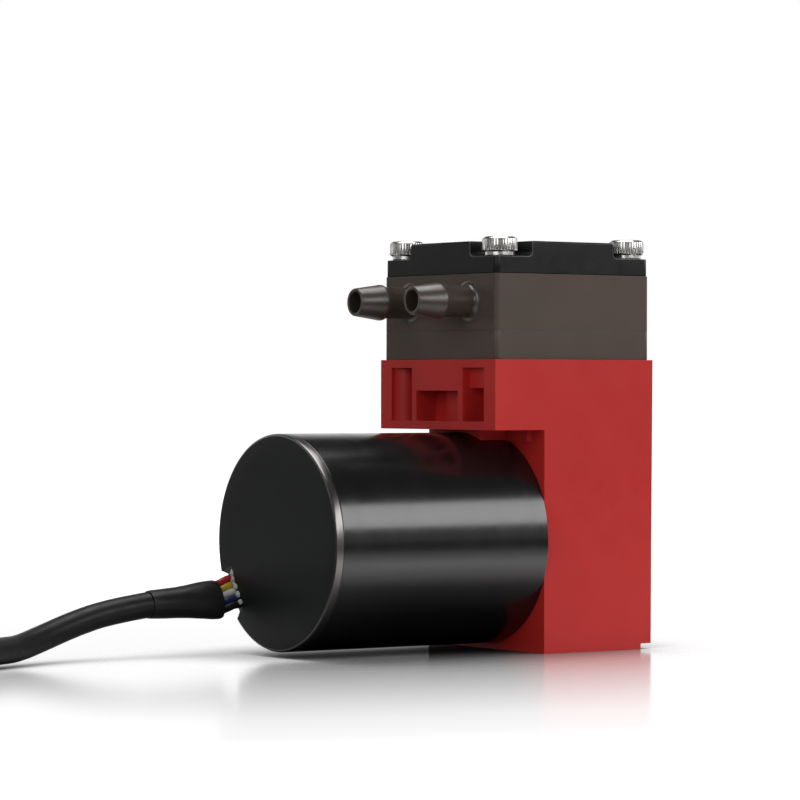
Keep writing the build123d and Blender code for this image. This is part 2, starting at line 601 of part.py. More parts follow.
MAIN_PITCH = (2 * SHAFT_RADIUS + MAIN_BEARING_OUTER) / 4
MAIN_BALL = BALL_SHARE * (MAIN_BEARING_OUTER / 2 - SHAFT_RADIUS)
ROD_PITCH = (ROD_BEARING_BORE + ROD_BEARING_OUTER) / 4
ROD_BALL = BALL_SHARE * (ROD_BEARING_OUTER - ROD_BEARING_BORE) / 2
MAIN_BEARING = (
    SHAFT_RADIUS, MAIN_BEARING_OUTER / 2, MAIN_PITCH, MAIN_BALL, MAIN_BEARING_WIDTH, MAIN_BALLS,
)
ROD_BEARING = (
    ROD_BEARING_BORE / 2, ROD_BEARING_OUTER / 2, ROD_PITCH, ROD_BALL, ROD_BEARING_WIDTH, ROD_BALLS,
)
BEARINGS = {
    "front": (*MAIN_BEARING, FRONT_BEARING_X, MOTOR_Z),
    "rear": (*MAIN_BEARING, REAR_BEARING_X, MOTOR_Z),
    "rod": (*ROD_BEARING, 0, CRANK_Z),
}
for place, (bore, rim, pitch, ball, width, count, x, z) in BEARINGS.items():
    inner_ring = bearing_ring(bore, pitch - LAND * ball, pitch, ball, width, x, z)
    inner_ring.part.label = f"{place}_bearing_inner"
    export_step(inner_ring.part, f"parts/{place}_bearing_inner.step")
    outer_ring = bearing_ring(pitch + LAND * ball, rim, pitch, ball, width, x, z)
    outer_ring.part.label = f"{place}_bearing_outer"
    export_step(outer_ring.part, f"parts/{place}_bearing_outer.step")
    balls = bearing_balls(pitch, ball, count, x, z)
    balls.part.label = f"{place}_bearing_balls"
    export_step(balls.part, f"parts/{place}_bearing_balls.step")

# Rotor: the shaft, a steel hub and the magnet ring on it
HUB_OUTSIDE = MAGNET_RADIUS - MAGNET_WALL
with BuildPart() as shaft:
    with BuildSketch(across(CAP_SEAM + 0.3, MOTOR_Z)):
        Circle(SHAFT_RADIUS)
    extrude(amount=SHAFT_END - CAP_SEAM - 0.3)
    chamfer(shaft.edges().filter_by(GeomType.CIRCLE), 0.3)
shaft.part.label = "shaft"
export_step(shaft.part, "parts/shaft.step")

with BuildPart() as rotor_hub:
    with BuildSketch(across(STATOR_MIDDLE, MOTOR_Z)):
        Circle(HUB_OUTSIDE)
        Circle(SHAFT_RADIUS, mode=Mode.SUBTRACT)
    extrude(amount=STATOR_LENGTH / 2 + 0.6, both=True)
rotor_hub.part.label = "rotor_hub"
export_step(rotor_hub.part, "parts/rotor_hub.step")

with BuildPart() as rotor_magnet:
    with BuildSketch(across(STATOR_MIDDLE, MOTOR_Z)):
        Circle(MAGNET_RADIUS)
        Circle(HUB_OUTSIDE, mode=Mode.SUBTRACT)
    extrude(amount=STATOR_LENGTH / 2 + 1, both=True)
rotor_magnet.part.label = "rotor_magnet"
export_step(rotor_magnet.part, "parts/rotor_magnet.step")

# Eccentric: the journal for the rod's bearing, a hub and a half-round counterweight
with BuildPart() as eccentric:
    with BuildSketch(across(-ROD_BEARING_WIDTH / 2, CRANK_Z)):
        Circle(ROD_BEARING_BORE / 2)
    extrude(amount=ROD_BEARING_WIDTH)
    with BuildSketch(across(ROD_BEARING_WIDTH / 2, CRANK_Z)):
        Circle(ROD_PITCH - LAND * ROD_BALL)
    extrude(amount=COLLAR_LENGTH)
    with BuildSketch(across(CRANK_BACK, MOTOR_Z)):
        Circle(COUNTERWEIGHT_RADIUS)
        with Locations((0, COUNTERWEIGHT_RADIUS)):
            Rectangle(2 * COUNTERWEIGHT_RADIUS, 2 * COUNTERWEIGHT_RADIUS, mode=Mode.SUBTRACT)
        Circle(HUB_RADIUS)
    extrude(amount=COUNTERWEIGHT_LENGTH)
    outer_rim = eccentric.edges().filter_by(GeomType.CIRCLE).group_by(Axis.X)[-1]
    chamfer(outer_rim, 0.4)
    with BuildSketch(across(-ROD_BEARING_WIDTH / 2, MOTOR_Z)):
        Circle(SHAFT_RADIUS)
    extrude(amount=SHAFT_END + ROD_BEARING_WIDTH, mode=Mode.SUBTRACT)
    with Locations((SET_SCREW_X, 0, MOTOR_Z + HUB_RADIUS)):
        Hole(SET_SCREW_RADIUS, depth=HUB_RADIUS - SHAFT_RADIUS / 2)
eccentric.part.label = "eccentric"
export_step(eccentric.part, "parts/eccentric.step")

with BuildPart() as set_screw:
    with BuildSketch(Plane.XY.offset(MOTOR_Z + SHAFT_RADIUS + 0.02)):
        with Locations((SET_SCREW_X, 0)):
            Circle(SET_SCREW_RADIUS)
    extrude(amount=HUB_RADIUS - SHAFT_RADIUS - SET_SCREW_SETBACK)
    with BuildSketch(set_screw.faces().sort_by(Axis.Z)[-1]):
        RegularPolygon(SET_SCREW_RADIUS / 2, 6)
    extrude(amount=-SET_SCREW_RADIUS, mode=Mode.SUBTRACT)
set_screw.part.label = "set_screw"
export_step(set_screw.part, "parts/set_screw.step")

# Connecting rod: a big end on the bearing, a waisted shank, and the plate under the diaphragm
ROD_RING = ROD_BEARING_OUTER / 2 + ROD_RING_WALL
PLATE_BOTTOM = WEB_BOTTOM - ROD_PLATE_THICKNESS
NECK_BOTTOM = PLATE_BOTTOM - ROD_NECK_LENGTH
with BuildPart() as connecting_rod:
    with BuildSketch(across(0, CRANK_Z)):
        Circle(ROD_RING)
        top = NECK_BOTTOM + 1 - CRANK_Z
        with BuildLine():
            Polyline(
                (-ROD_WAIST / 2, top), (-ROD_RING * 0.8, ROD_RING * 0.6),
                (ROD_RING * 0.8, ROD_RING * 0.6), (ROD_WAIST / 2, top), close=True,
            )
        make_face()
    extrude(amount=ROD_BEARING_WIDTH / 2, both=True)
    # A shallow pocket on each side of the shank
    waist_low, waist_high = ROD_RING + 1.5, top - 1.5
    for face in (-1, 1):
        with BuildSketch(across(face * ROD_BEARING_WIDTH / 2, CRANK_Z)):
            with Locations((0, (waist_low + waist_high) / 2)):
                RectangleRounded(ROD_WAIST * 0.5, waist_high - waist_low, ROD_WAIST * 0.2)
        extrude(amount=-face * ROD_BEARING_WIDTH * 0.3, mode=Mode.SUBTRACT)
    add(upright((
        (0, NECK_BOTTOM), (ROD_NECK_RADIUS, NECK_BOTTOM),
        (ROD_NECK_RADIUS, PLATE_BOTTOM - 0.8), (ROD_NECK_RADIUS + 0.8, PLATE_BOTTOM),
        (ROD_PLATE_RADIUS - 0.4, PLATE_BOTTOM), (ROD_PLATE_RADIUS, PLATE_BOTTOM + 0.4),
        (ROD_PLATE_RADIUS, WEB_BOTTOM - 0.5), (ROD_PLATE_RADIUS - 0.5, WEB_BOTTOM),
        (0, WEB_BOTTOM),
    )))
    with BuildSketch(across(-ROD_BEARING_WIDTH, CRANK_Z)):
        Circle(ROD_BEARING_OUTER / 2)
    extrude(amount=2 * ROD_BEARING_WIDTH, mode=Mode.SUBTRACT)
    with Locations((0, 0, WEB_BOTTOM)):
        Hole(CLAMP_SCREW_RADIUS, depth=CLAMP_SCREW_LENGTH - DIAPHRAGM_THICKNESS - CLAMP_THICKNESS + 0.5)
connecting_rod.part.label = "connecting_rod"
export_step(connecting_rod.part, "parts/connecting_rod.step")

CLAMP_TOP = WEB_TOP + CLAMP_THICKNESS
CLAMP_HEAD = CLAMP_SCREW_RADIUS + CLAMP_THICKNESS - 0.05
with BuildPart() as clamp_disc:
    add(upright((
        (0, WEB_TOP), (CLAMP_RADIUS - 0.4, WEB_TOP), (CLAMP_RADIUS, WEB_TOP + 0.4),
        (CLAMP_RADIUS - 0.5, CLAMP_TOP), (0, CLAMP_TOP),
    )))
    with Locations((0, 0, CLAMP_TOP)):
        CounterSinkHole(CLAMP_SCREW_RADIUS, CLAMP_HEAD, depth=CLAMP_THICKNESS, counter_sink_angle=90)
clamp_disc.part.label = "clamp_disc"
export_step(clamp_disc.part, "parts/clamp_disc.step")

with BuildPart() as clamp_screw:
    with Locations((0, 0, CLAMP_TOP)):
        align = (Align.CENTER, Align.CENTER, Align.MAX)
        Cylinder(CLAMP_SCREW_RADIUS, CLAMP_SCREW_LENGTH, align=align)
        Cone(CLAMP_SCREW_RADIUS, CLAMP_HEAD, CLAMP_HEAD - CLAMP_SCREW_RADIUS, align=align)
        Box(0.5, 2.4, 0.5, align=align, mode=Mode.SUBTRACT)
        Box(2.4, 0.5, 0.5, align=align, mode=Mode.SUBTRACT)
clamp_screw.part.label = "clamp_screw"
export_step(clamp_screw.part, "parts/clamp_screw.step")

# Diaphragm: a flat web on the rod, a rolled convolution, and a rim clamped under the head
RIM_BOTTOM = BLOCK_TOP - DIAPHRAGM_THICKNESS
with BuildPart() as diaphragm:
    with BuildSketch(Plane.XZ):
        with BuildLine():
            web_edge = ROD_PLATE_RADIUS - 0.2
            rim_edge = DIAPHRAGM_BORE - 0.1
            middle = (web_edge + rim_edge) / 2
            Line((DIAPHRAGM_HOLE, WEB_TOP), (DIAPHRAGM_HOLE, WEB_BOTTOM))
            Line((DIAPHRAGM_HOLE, WEB_BOTTOM), (web_edge, WEB_BOTTOM))
            ThreePointArc(
                (web_edge, WEB_BOTTOM), (middle, WEB_BOTTOM + 0.1), (rim_edge, RIM_BOTTOM),
            )
            Line((rim_edge, RIM_BOTTOM), (DIAPHRAGM_RADIUS, RIM_BOTTOM))
            Line((DIAPHRAGM_RADIUS, RIM_BOTTOM), (DIAPHRAGM_RADIUS, BLOCK_TOP))
            Line((DIAPHRAGM_RADIUS, BLOCK_TOP), (rim_edge + 0.4, BLOCK_TOP))
            ThreePointArc(
                (rim_edge + 0.4, BLOCK_TOP), (middle + 0.2, WEB_TOP + 0.1), (web_edge, WEB_TOP),
            )
            Line((web_edge, WEB_TOP), (DIAPHRAGM_HOLE, WEB_TOP))
        make_face()
    revolve(axis=Axis.Z)
diaphragm.part.label = "diaphragm"
export_step(diaphragm.part, "parts/diaphragm.step")


# Head: two plates and the top cover, all drilled for the head screws
def head_block(size, bottom, height):
    """A square plate of the head with rounded corners and its four screw holes."""
    with BuildSketch(Plane.XY.offset(bottom)) as plan:
        RectangleRounded(size, size, HEAD_CORNER_RADIUS)
        with GridLocations(HEAD_SCREW_SPACING, HEAD_SCREW_SPACING, 2, 2):
            Circle(HEAD_SCREW_RADIUS + SCREW_CLEARANCE, mode=Mode.SUBTRACT)
    return extrude(plan.sketch, amount=height, mode=Mode.PRIVATE)


ROOF_RADIUS = CLAMP_RADIUS + ECCENTRICITY + 1.2
MOUTH_RADIUS = DIAPHRAGM_BORE + 0.6
SEAL_INSIDE = SEAL_RADIUS - SEAL_SECTION
with BuildPart() as chamber_plate:
    add(head_block(HEAD_SIZE, BLOCK_TOP, CHAMBER_PLATE_HEIGHT))
    # The working chamber over the diaphragm
    add(upright((
        (0, BLOCK_TOP - 1), (MOUTH_RADIUS, BLOCK_TOP - 1), (MOUTH_RADIUS, BLOCK_TOP + 0.4),
        (ROOF_RADIUS + 0.6, ROOF_Z - 0.5), (ROOF_RADIUS, ROOF_Z), (0, ROOF_Z),
    )), mode=Mode.SUBTRACT)
    # The inlet valve's pocket with its vents, the outlet port and the seal's groove
    with Locations((0, -VALVE_OFFSET, SEAM_Z)):
        Hole(VALVE_POCKET_RADIUS, depth=VALVE_POCKET_DEPTH)
        with PolarLocations(VENT_CIRCLE, VENTS, start_angle=45):
            Hole(VENT_RADIUS, depth=SEAM_Z - ROOF_Z + 0.5)
    with Locations((0, VALVE_OFFSET, SEAM_Z)):
        Hole(VALVE_PORT_RADIUS, depth=SEAM_Z - ROOF_Z + 0.5)
    with BuildSketch(Plane.XY.offset(SEAM_Z)):
        Circle(SEAL_RADIUS)
        Circle(SEAL_INSIDE, mode=Mode.SUBTRACT)
    extrude(amount=-SEAL_SECTION, mode=Mode.SUBTRACT)
chamber_plate.part.label = "chamber_plate"
export_step(chamber_plate.part, "parts/chamber_plate.step")

with BuildPart() as valve_seal:
    with BuildSketch(Plane.XY.offset(SEAM_Z)):
        Circle(SEAL_RADIUS)
        Circle(SEAL_INSIDE, mode=Mode.SUBTRACT)
    extrude(amount=-SEAL_SECTION)
valve_seal.part.label = "valve_seal"
export_step(valve_seal.part, "parts/valve_seal.step")

# Upper plate: the two hose nozzles, their passages, the outlet valve's pocket and two air
# chambers under the cover that smooth the flow
PASSAGE_END = NOZZLE_BORE_RADIUS + 0.3
with BuildPart() as head_plate:
    add(head_block(HEAD_SIZE, SEAM_Z, HEAD_PLATE_HEIGHT))
    for y in (-NOZZLE_OFFSET, NOZZLE_OFFSET):
        tip = HEAD_FACE - NOZZLE_LENGTH
        nozzle = turned((
            (HEAD_FACE + 1, 0), (HEAD_FACE + 1, NOZZLE_SHANK_RADIUS + NOZZLE_ROOT_RADIUS),
            (HEAD_FACE, NOZZLE_SHANK_RADIUS + NOZZLE_ROOT_RADIUS),
            (HEAD_FACE - 0.23 * NOZZLE_ROOT_RADIUS, NOZZLE_SHANK_RADIUS + 0.36 * NOZZLE_ROOT_RADIUS),
            (HEAD_FACE - NOZZLE_ROOT_RADIUS, NOZZLE_SHANK_RADIUS),
            (HEAD_FACE - NOZZLE_BARB_START, NOZZLE_SHANK_RADIUS),
            (HEAD_FACE - NOZZLE_BARB_CREST, NOZZLE_BARB_RADIUS),
            (HEAD_FACE - NOZZLE_BARB_CREST - NOZZLE_BARB_LAND, NOZZLE_BARB_RADIUS),
            (tip + 0.2, NOZZLE_TIP_RADIUS + 0.05), (tip, NOZZLE_TIP_RADIUS - 0.1), (tip, 0),
        ), NOZZLE_Z)
        add(nozzle.moved(Location((0, y, 0))))
    for y in (-NOZZLE_OFFSET, NOZZLE_OFFSET):
        with BuildSketch(across(HEAD_FACE - NOZZLE_LENGTH, NOZZLE_Z)):
            with Locations((y, 0)):
                Circle(NOZZLE_BORE_RADIUS)
        extrude(amount=NOZZLE_LENGTH - HEAD_FACE + PASSAGE_END, mode=Mode.SUBTRACT)
    with Locations(Location((0, -VALVE_OFFSET, SEAM_Z), (180, 0, 0))):
        Hole(VALVE_PORT_RADIUS, depth=NOZZLE_HEIGHT)
    with Locations(Location((0, VALVE_OFFSET, SEAM_Z), (180, 0, 0))):
        Hole(VALVE_POCKET_RADIUS, depth=VALVE_POCKET_DEPTH)
        with PolarLocations(VENT_CIRCLE, VENTS, start_angle=45):
            Hole(VENT_RADIUS, depth=NOZZLE_HEIGHT)
    with BuildSketch(Plane.XY.offset(HEAD_TOP)):
        with GridLocations(1, AIR_CHAMBER_SPACING, 1, 2):
            RectangleRounded(AIR_CHAMBER_LENGTH, AIR_CHAMBER_WIDTH, AIR_CHAMBER_WIDTH / 5)
    extrude(amount=-AIR_CHAMBER_DEPTH, mode=Mode.SUBTRACT)
    with Locations((-2, 0, HEAD_TOP)):
        with GridLocations(1, 2 * NOZZLE_OFFSET - 2, 1, 2):
            Hole(NOZZLE_BORE_RADIUS / 2, depth=HEAD_TOP - NOZZLE_Z)
head_plate.part.label = "head_plate"
export_step(head_plate.part, "parts/head_plate.step")

for name, y, bottom in (
    ("inlet_valve_disc", -VALVE_OFFSET, SEAM_Z - VALVE_GAP - VALVE_THICKNESS),
    ("outlet_valve_disc", VALVE_OFFSET, SEAM_Z + VALVE_GAP),
):
    with BuildPart() as valve_disc:
        with Locations((0, y, bottom)):
            Cylinder(VALVE_RADIUS, VALVE_THICKNESS, align=(Align.CENTER, Align.CENTER, Align.MIN))
        fillet(valve_disc.edges().filter_by(GeomType.CIRCLE), VALVE_THICKNESS / 4)
    valve_disc.part.label = name
    export_step(valve_disc.part, f"parts/{name}.step")

with BuildPart() as cover_gasket:
    with BuildSketch(Plane.XY.offset(HEAD_TOP)):
        Circle(GASKET_RADIUS)
    extrude(amount=GASKET_THICKNESS)
cover_gasket.part.label = "cover_gasket"
export_step(cover_gasket.part, "parts/cover_gasket.step")

# Top cover, with a notch at each corner for the screw's head
COVER_SIZE = HEAD_SIZE - 2 * COVER_INSET
with BuildPart() as top_cover:
    add(head_block(COVER_SIZE, HEAD_TOP, COVER_HEIGHT))
    with BuildSketch(Plane.XY.offset(COVER_TOP)):
        with GridLocations(COVER_SIZE, COVER_SIZE, 2, 2):
            RectangleRounded(2 * NOTCH_SIZE, 2 * NOTCH_SIZE, NOTCH_CORNER_RADIUS)
    extrude(amount=-NOTCH_DEPTH, mode=Mode.SUBTRACT)
    floors = top_cover.faces().filter_by(Plane.XY).group_by(Axis.Z)[-2]
    inner_edges = [
        edge for edge in floors.edges()
        if max(abs(edge.center().X), abs(edge.center().Y)) < COVER_SIZE / 2 - HEAD_CORNER_RADIUS
        and edge.center().Z > NOTCH_FLOOR - 0.01
        and edge.distance_to(Vertex(0, 0, NOTCH_FLOOR)) < sqrt(2) * (COVER_SIZE / 2 - NOTCH_SIZE) + 0.7
    ]
    fillet(inner_edges, NOTCH_FLOOR_RADIUS)
    fillet(top_cover.faces().sort_by(Axis.Z)[-1].edges(), 0.3)
    with BuildSketch(Plane.XY.offset(HEAD_TOP)):
        Circle(GASKET_RADIUS + GASKET_GAP)
    extrude(amount=GASKET_THICKNESS, mode=Mode.SUBTRACT)
top_cover.part.label = "top_cover"
export_step(top_cover.part, "parts/top_cover.step")

# Four socket cap screws through the head into the housing
with BuildPart() as head_screws:
    neck_top = NOTCH_FLOOR + CAP_NECK_HEIGHT
    head_top = NOTCH_FLOOR + CAP_HEAD_HEIGHT
    with GridLocations(HEAD_SCREW_SPACING, HEAD_SCREW_SPACING, 2, 2):
        add(upright((
            (0, BLOCK_TOP - HEAD_SCREW_GRIP), (HEAD_SCREW_RADIUS - 0.3, BLOCK_TOP - HEAD_SCREW_GRIP),
            (HEAD_SCREW_RADIUS, BLOCK_TOP - HEAD_SCREW_GRIP + 0.3), (HEAD_SCREW_RADIUS, NOTCH_FLOOR),
            (CAP_NECK_RADIUS, NOTCH_FLOOR), (CAP_NECK_RADIUS, neck_top),
            (CAP_HEAD_RADIUS - 0.25, neck_top), (CAP_HEAD_RADIUS, neck_top + 0.25),
            (CAP_HEAD_RADIUS, head_top - 0.35), (CAP_HEAD_RADIUS - 0.35, head_top), (0, head_top),
        )))
    with BuildSketch(Plane.XY.offset(head_top)):
        with GridLocations(HEAD_SCREW_SPACING, HEAD_SCREW_SPACING, 2, 2):
            RegularPolygon(HEX_SIZE / 2, 6, major_radius=False)
    extrude(amount=-HEX_DEPTH, mode=Mode.SUBTRACT)
head_screws.part.label = "head_screws"
export_step(head_screws.part, "parts/head_screws.step")

# The five leads leave the board through the notch, side by side along the rim
ROW_RADIUS = CAN_INSIDE - LEAD_DIAMETER / 2 - LEAD_CAN_GAP
ROW_STEP = LEAD_PITCH / radians(1) / ROW_RADIUS
MOUTH_X = MOTOR_BACK - LEAD_EXPOSED
LEAD_END_X = MOUTH_X - BOOT_MOUTH_DEPTH + 0.15
for index, colour in enumerate(LEAD_NAMES):
    angle = radians(LEAD_ROW_ANGLE + (2 - index) * ROW_STEP)
    y, z = ROW_RADIUS * cos(angle), MOTOR_Z + ROW_RADIUS * sin(angle)
    drop = LEAD_DROP * (1 + BOOT_MOUTH_DEPTH / LEAD_EXPOSED)
    lead_points = ((BOARD_X, y, z), (MOTOR_BACK, y, z), (LEAD_END_X, y, z - drop))
    with BuildPart() as lead:
        add(tube(lead_points, LEAD_DIAMETER))
    lead.part.label = f"lead_{colour}"
    export_step(lead.part, f"parts/lead_{colour}.step")

with BuildPart() as wire_glue:
    with BuildSketch(across(MOTOR_BACK - 0.3, MOTOR_Z)):
        with BuildLine():
            inner = CenterArc((0, 0), CAN_INSIDE - RIM_NOTCH_DEPTH, NOTCH_START + 1, NOTCH_ARC - 2)
            outer = CenterArc((0, 0), CAN_INSIDE - RIM_NOTCH_DEPTH + GLUE_THICKNESS, NOTCH_START + 1, NOTCH_ARC - 2)
            Line(inner @ 0, outer @ 0)
            Line(inner @ 1, outer @ 1)
        make_face()
    extrude(amount=END_CAP_THICKNESS + 1.5)
wire_glue.part.label = "wire_glue"
export_step(wire_glue.part, "parts/wire_glue.step")

# Heat-shrink boot: an oval mouth over the row of leads, drawn down to the round cable
MOUTH_Y = ROW_RADIUS * cos(radians(LEAD_ROW_ANGLE))
MOUTH_Z = MOTOR_Z + ROW_RADIUS * sin(radians(LEAD_ROW_ANGLE)) - LEAD_DROP
ROW_TILT = 90 + LEAD_ROW_ANGLE
BOOT_END = (MOUTH_X - BOOT_LENGTH, MOUTH_Y, MOUTH_Z - BOOT_DROP)
with BuildPart() as sleeve_boot:
    sections = (
        (0.0, *BOOT_MOUTH), (0.42, *BOOT_MIDDLE), (1.0, CABLE_RADIUS + 0.06, CABLE_RADIUS + 0.05),
    )
    for share, long_half, short_half in sections:
        centre = (MOUTH_X - share * BOOT_LENGTH, MOUTH_Y, MOUTH_Z - share * BOOT_DROP)
        with BuildSketch(Plane(origin=centre, x_dir=(0, 1, 0), z_dir=(1, 0, 0))):
            Ellipse(long_half, short_half, rotation=ROW_TILT)
    loft()
    with BuildSketch(Plane(origin=(MOUTH_X, MOUTH_Y, MOUTH_Z), x_dir=(0, 1, 0), z_dir=(1, 0, 0))):
        Ellipse(BOOT_MOUTH[0] - BOOT_WALL, BOOT_MOUTH[1] - BOOT_WALL, rotation=ROW_TILT)
    extrude(amount=-BOOT_MOUTH_DEPTH, mode=Mode.SUBTRACT)
sleeve_boot.part.label = "sleeve_boot"
export_step(sleeve_boot.part, "parts/sleeve_boot.step")

# Cable: down to the surface, then a neat tied coil of two turns, and a short tail
coil_x, coil_y = COIL_CENTRE
coil_out = Vector(cos(radians(COIL_ENTRY_ANGLE)), sin(radians(COIL_ENTRY_ANGLE)), 0)
coil_back = Vector(-coil_out.Y, coil_out.X, 0)
COIL_FOOT = Vector(coil_x, coil_y, CABLE_END_Z) + coil_out * COIL_RADIUS
COIL_ENTRY = tuple(COIL_FOOT + coil_back * COIL_ENTRY_LENGTH)
COIL_EXIT = (coil_x + COIL_EXIT_LENGTH, coil_y + COIL_RADIUS, COIL_TOP_Z)
cable_route = (BOOT_END, *CABLE_POINTS, COIL_ENTRY)
tail_route = (COIL_EXIT, *TAIL_POINTS)
with BuildPart() as cable_sleeve:
    add(tube(cable_route, CABLE_DIAMETER))
    add(sleeve_boot.part, mode=Mode.SUBTRACT)
cable_sleeve.part.label = "cable_sleeve"
export_step(cable_sleeve.part, "parts/cable_sleeve.step")

COIL_MIDDLE_Z = (CABLE_END_Z + COIL_TOP_Z) / 2
with BuildPart() as cable_coil:
    with BuildSketch(Plane(origin=(coil_x, coil_y, 0), x_dir=(1, 0, 0), z_dir=(0, -1, 0))):
        with Locations((COIL_RADIUS, COIL_MIDDLE_Z)):
            SlotOverall(COIL_LAYERS * CABLE_DIAMETER, CABLE_DIAMETER, rotation=90)
    revolve(axis=Axis((coil_x, coil_y, 0), (0, 0, 1)))
    with BuildSketch(Plane(origin=COIL_FOOT, z_dir=coil_back)):
        Circle(CABLE_RADIUS)
    extrude(amount=COIL_ENTRY_LENGTH)
    with BuildSketch(Plane(origin=(coil_x, coil_y + COIL_RADIUS, COIL_TOP_Z), z_dir=(1, 0, 0))):
        Circle(CABLE_RADIUS)
    extrude(amount=COIL_EXIT_LENGTH)
cable_coil.part.label = "cable_coil"
export_step(cable_coil.part, "parts/cable_coil.step")

with BuildPart() as cable_tail:
    add(tube(tail_route, CABLE_DIAMETER))
    add(cable_coil.part, mode=Mode.SUBTRACT)
cable_tail.part.label = "cable_tail"
export_step(cable_tail.part, "parts/cable_tail.step")

with BuildPart() as coil_tie:
    tie_x = coil_x + COIL_RADIUS
    band = (COIL_LAYERS * CABLE_DIAMETER + 2 * TIE_GAP, CABLE_DIAMETER + 2 * TIE_GAP)
    with BuildSketch(Plane(origin=(tie_x, coil_y, COIL_MIDDLE_Z), x_dir=(1, 0, 0), z_dir=(0, 1, 0))):
        SlotOverall(band[0] + 2 * TIE_THICKNESS, band[1] + 2 * TIE_THICKNESS, rotation=90)
        with Locations((-band[1] / 2 - TIE_THICKNESS - 0.7, 0)):
            Rectangle(2.4, 3.0)
        SlotOverall(*band, rotation=90, mode=Mode.SUBTRACT)
    extrude(amount=TIE_WIDTH / 2, both=True)
coil_tie.part.label = "coil_tie"
export_step(coil_tie.part, "parts/coil_tie.step")

# Connector: a five-way crimp housing with its contacts, along the tail's last run
tail_end, tail_before = Vector(*tail_route[-1]), Vector(*tail_route[-2])
heading = Vector(tail_end.X - tail_before.X, tail_end.Y - tail_before.Y, 0).normalized()
sideways = heading.cross(Vector(0, 0, 1))
CONNECTOR_WIDTH = len(LEAD_NAMES) * CONNECTOR_PITCH + 1.9
connector_back = tail_end + heading * CONNECTOR_LEADS
back_plane = Plane(
    origin=(connector_back.X, connector_back.Y, CONNECTOR_HEIGHT / 2), x_dir=sideways, z_dir=heading
)
with BuildPart() as connector_leads:
    for index in range(len(LEAD_NAMES)):
        side = index - (len(LEAD_NAMES) - 1) / 2
        rise = 0.45 if index % 2 else -0.45
        start = tail_end + sideways * side * 0.6 + Vector(0, 0, rise)
        goal = back_plane.origin + sideways * side * CONNECTOR_PITCH
        with BuildSketch(Plane(origin=start, z_dir=goal - start)):
            Circle(LEAD_DIAMETER * 0.4)
        extrude(amount=(goal - start).length)
    add(cable_tail.part, mode=Mode.SUBTRACT)
    with BuildSketch(back_plane):
        Rectangle(2 * CONNECTOR_WIDTH, 2 * CONNECTOR_HEIGHT)
    extrude(amount=CONNECTOR_LENGTH, mode=Mode.SUBTRACT)
connector_leads.part.label = "connector_leads"
export_step(connector_leads.part, "parts/connector_leads.step")

with BuildPart() as connector_housing:
    with BuildSketch(back_plane):
        RectangleRounded(CONNECTOR_WIDTH, CONNECTOR_HEIGHT, 0.3)
    extrude(amount=CONNECTOR_LENGTH)
    with BuildSketch(back_plane.offset(CONNECTOR_LENGTH)):
        with GridLocations(CONNECTOR_PITCH, 1, len(LEAD_NAMES), 1):
            Rectangle(CONNECTOR_PITCH - 0.6, CONNECTOR_HEIGHT - 2 * CONNECTOR_WALL)
    extrude(amount=-CONTACT_LENGTH, mode=Mode.SUBTRACT)
    with BuildSketch(back_plane.offset(CONNECTOR_LENGTH * 0.35)):
        with Locations((0, CONNECTOR_HEIGHT / 2)):
            Rectangle(CONNECTOR_WIDTH - 3, 0.8)
    extrude(amount=CONNECTOR_LENGTH * 0.25, mode=Mode.SUBTRACT)
connector_housing.part.label = "connector_housing"
export_step(connector_housing.part, "parts/connector_housing.step")

with BuildPart() as connector_contacts:
    with BuildSketch(back_plane.offset(CONNECTOR_LENGTH - CONTACT_LENGTH)):
        with GridLocations(CONNECTOR_PITCH, 1, len(LEAD_NAMES), 1):
            Rectangle(CONNECTOR_PITCH - 0.9, CONNECTOR_PITCH - 0.9)
    extrude(amount=CONTACT_LENGTH - 0.6)
connector_contacts.part.label = "connector_contacts"
export_step(connector_contacts.part, "parts/connector_contacts.step")

print("cable radii", [round(r, 1) for r in arc_radii(cable_route)])
print("tail radii", [round(r, 1) for r in arc_radii(tail_route)])
for tube_part, name in ((cable_sleeve, "cable_sleeve"), (cable_tail, "cable_tail")):
    area = pi * CABLE_RADIUS**2
    print(name, "length from its volume", round(tube_part.part.volume / area, 2))
print("boot ends at", BOOT_END)
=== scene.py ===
"""Looks of a diaphragm vacuum pump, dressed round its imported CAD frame. Metres, +Z up."""

import json
from math import atan2, cos, hypot, pi, radians, sin

import bmesh
import bpy
from bpy.props import FloatProperty, FloatVectorProperty, IntProperty, PointerProperty
from mathutils import Matrix, Vector, noise

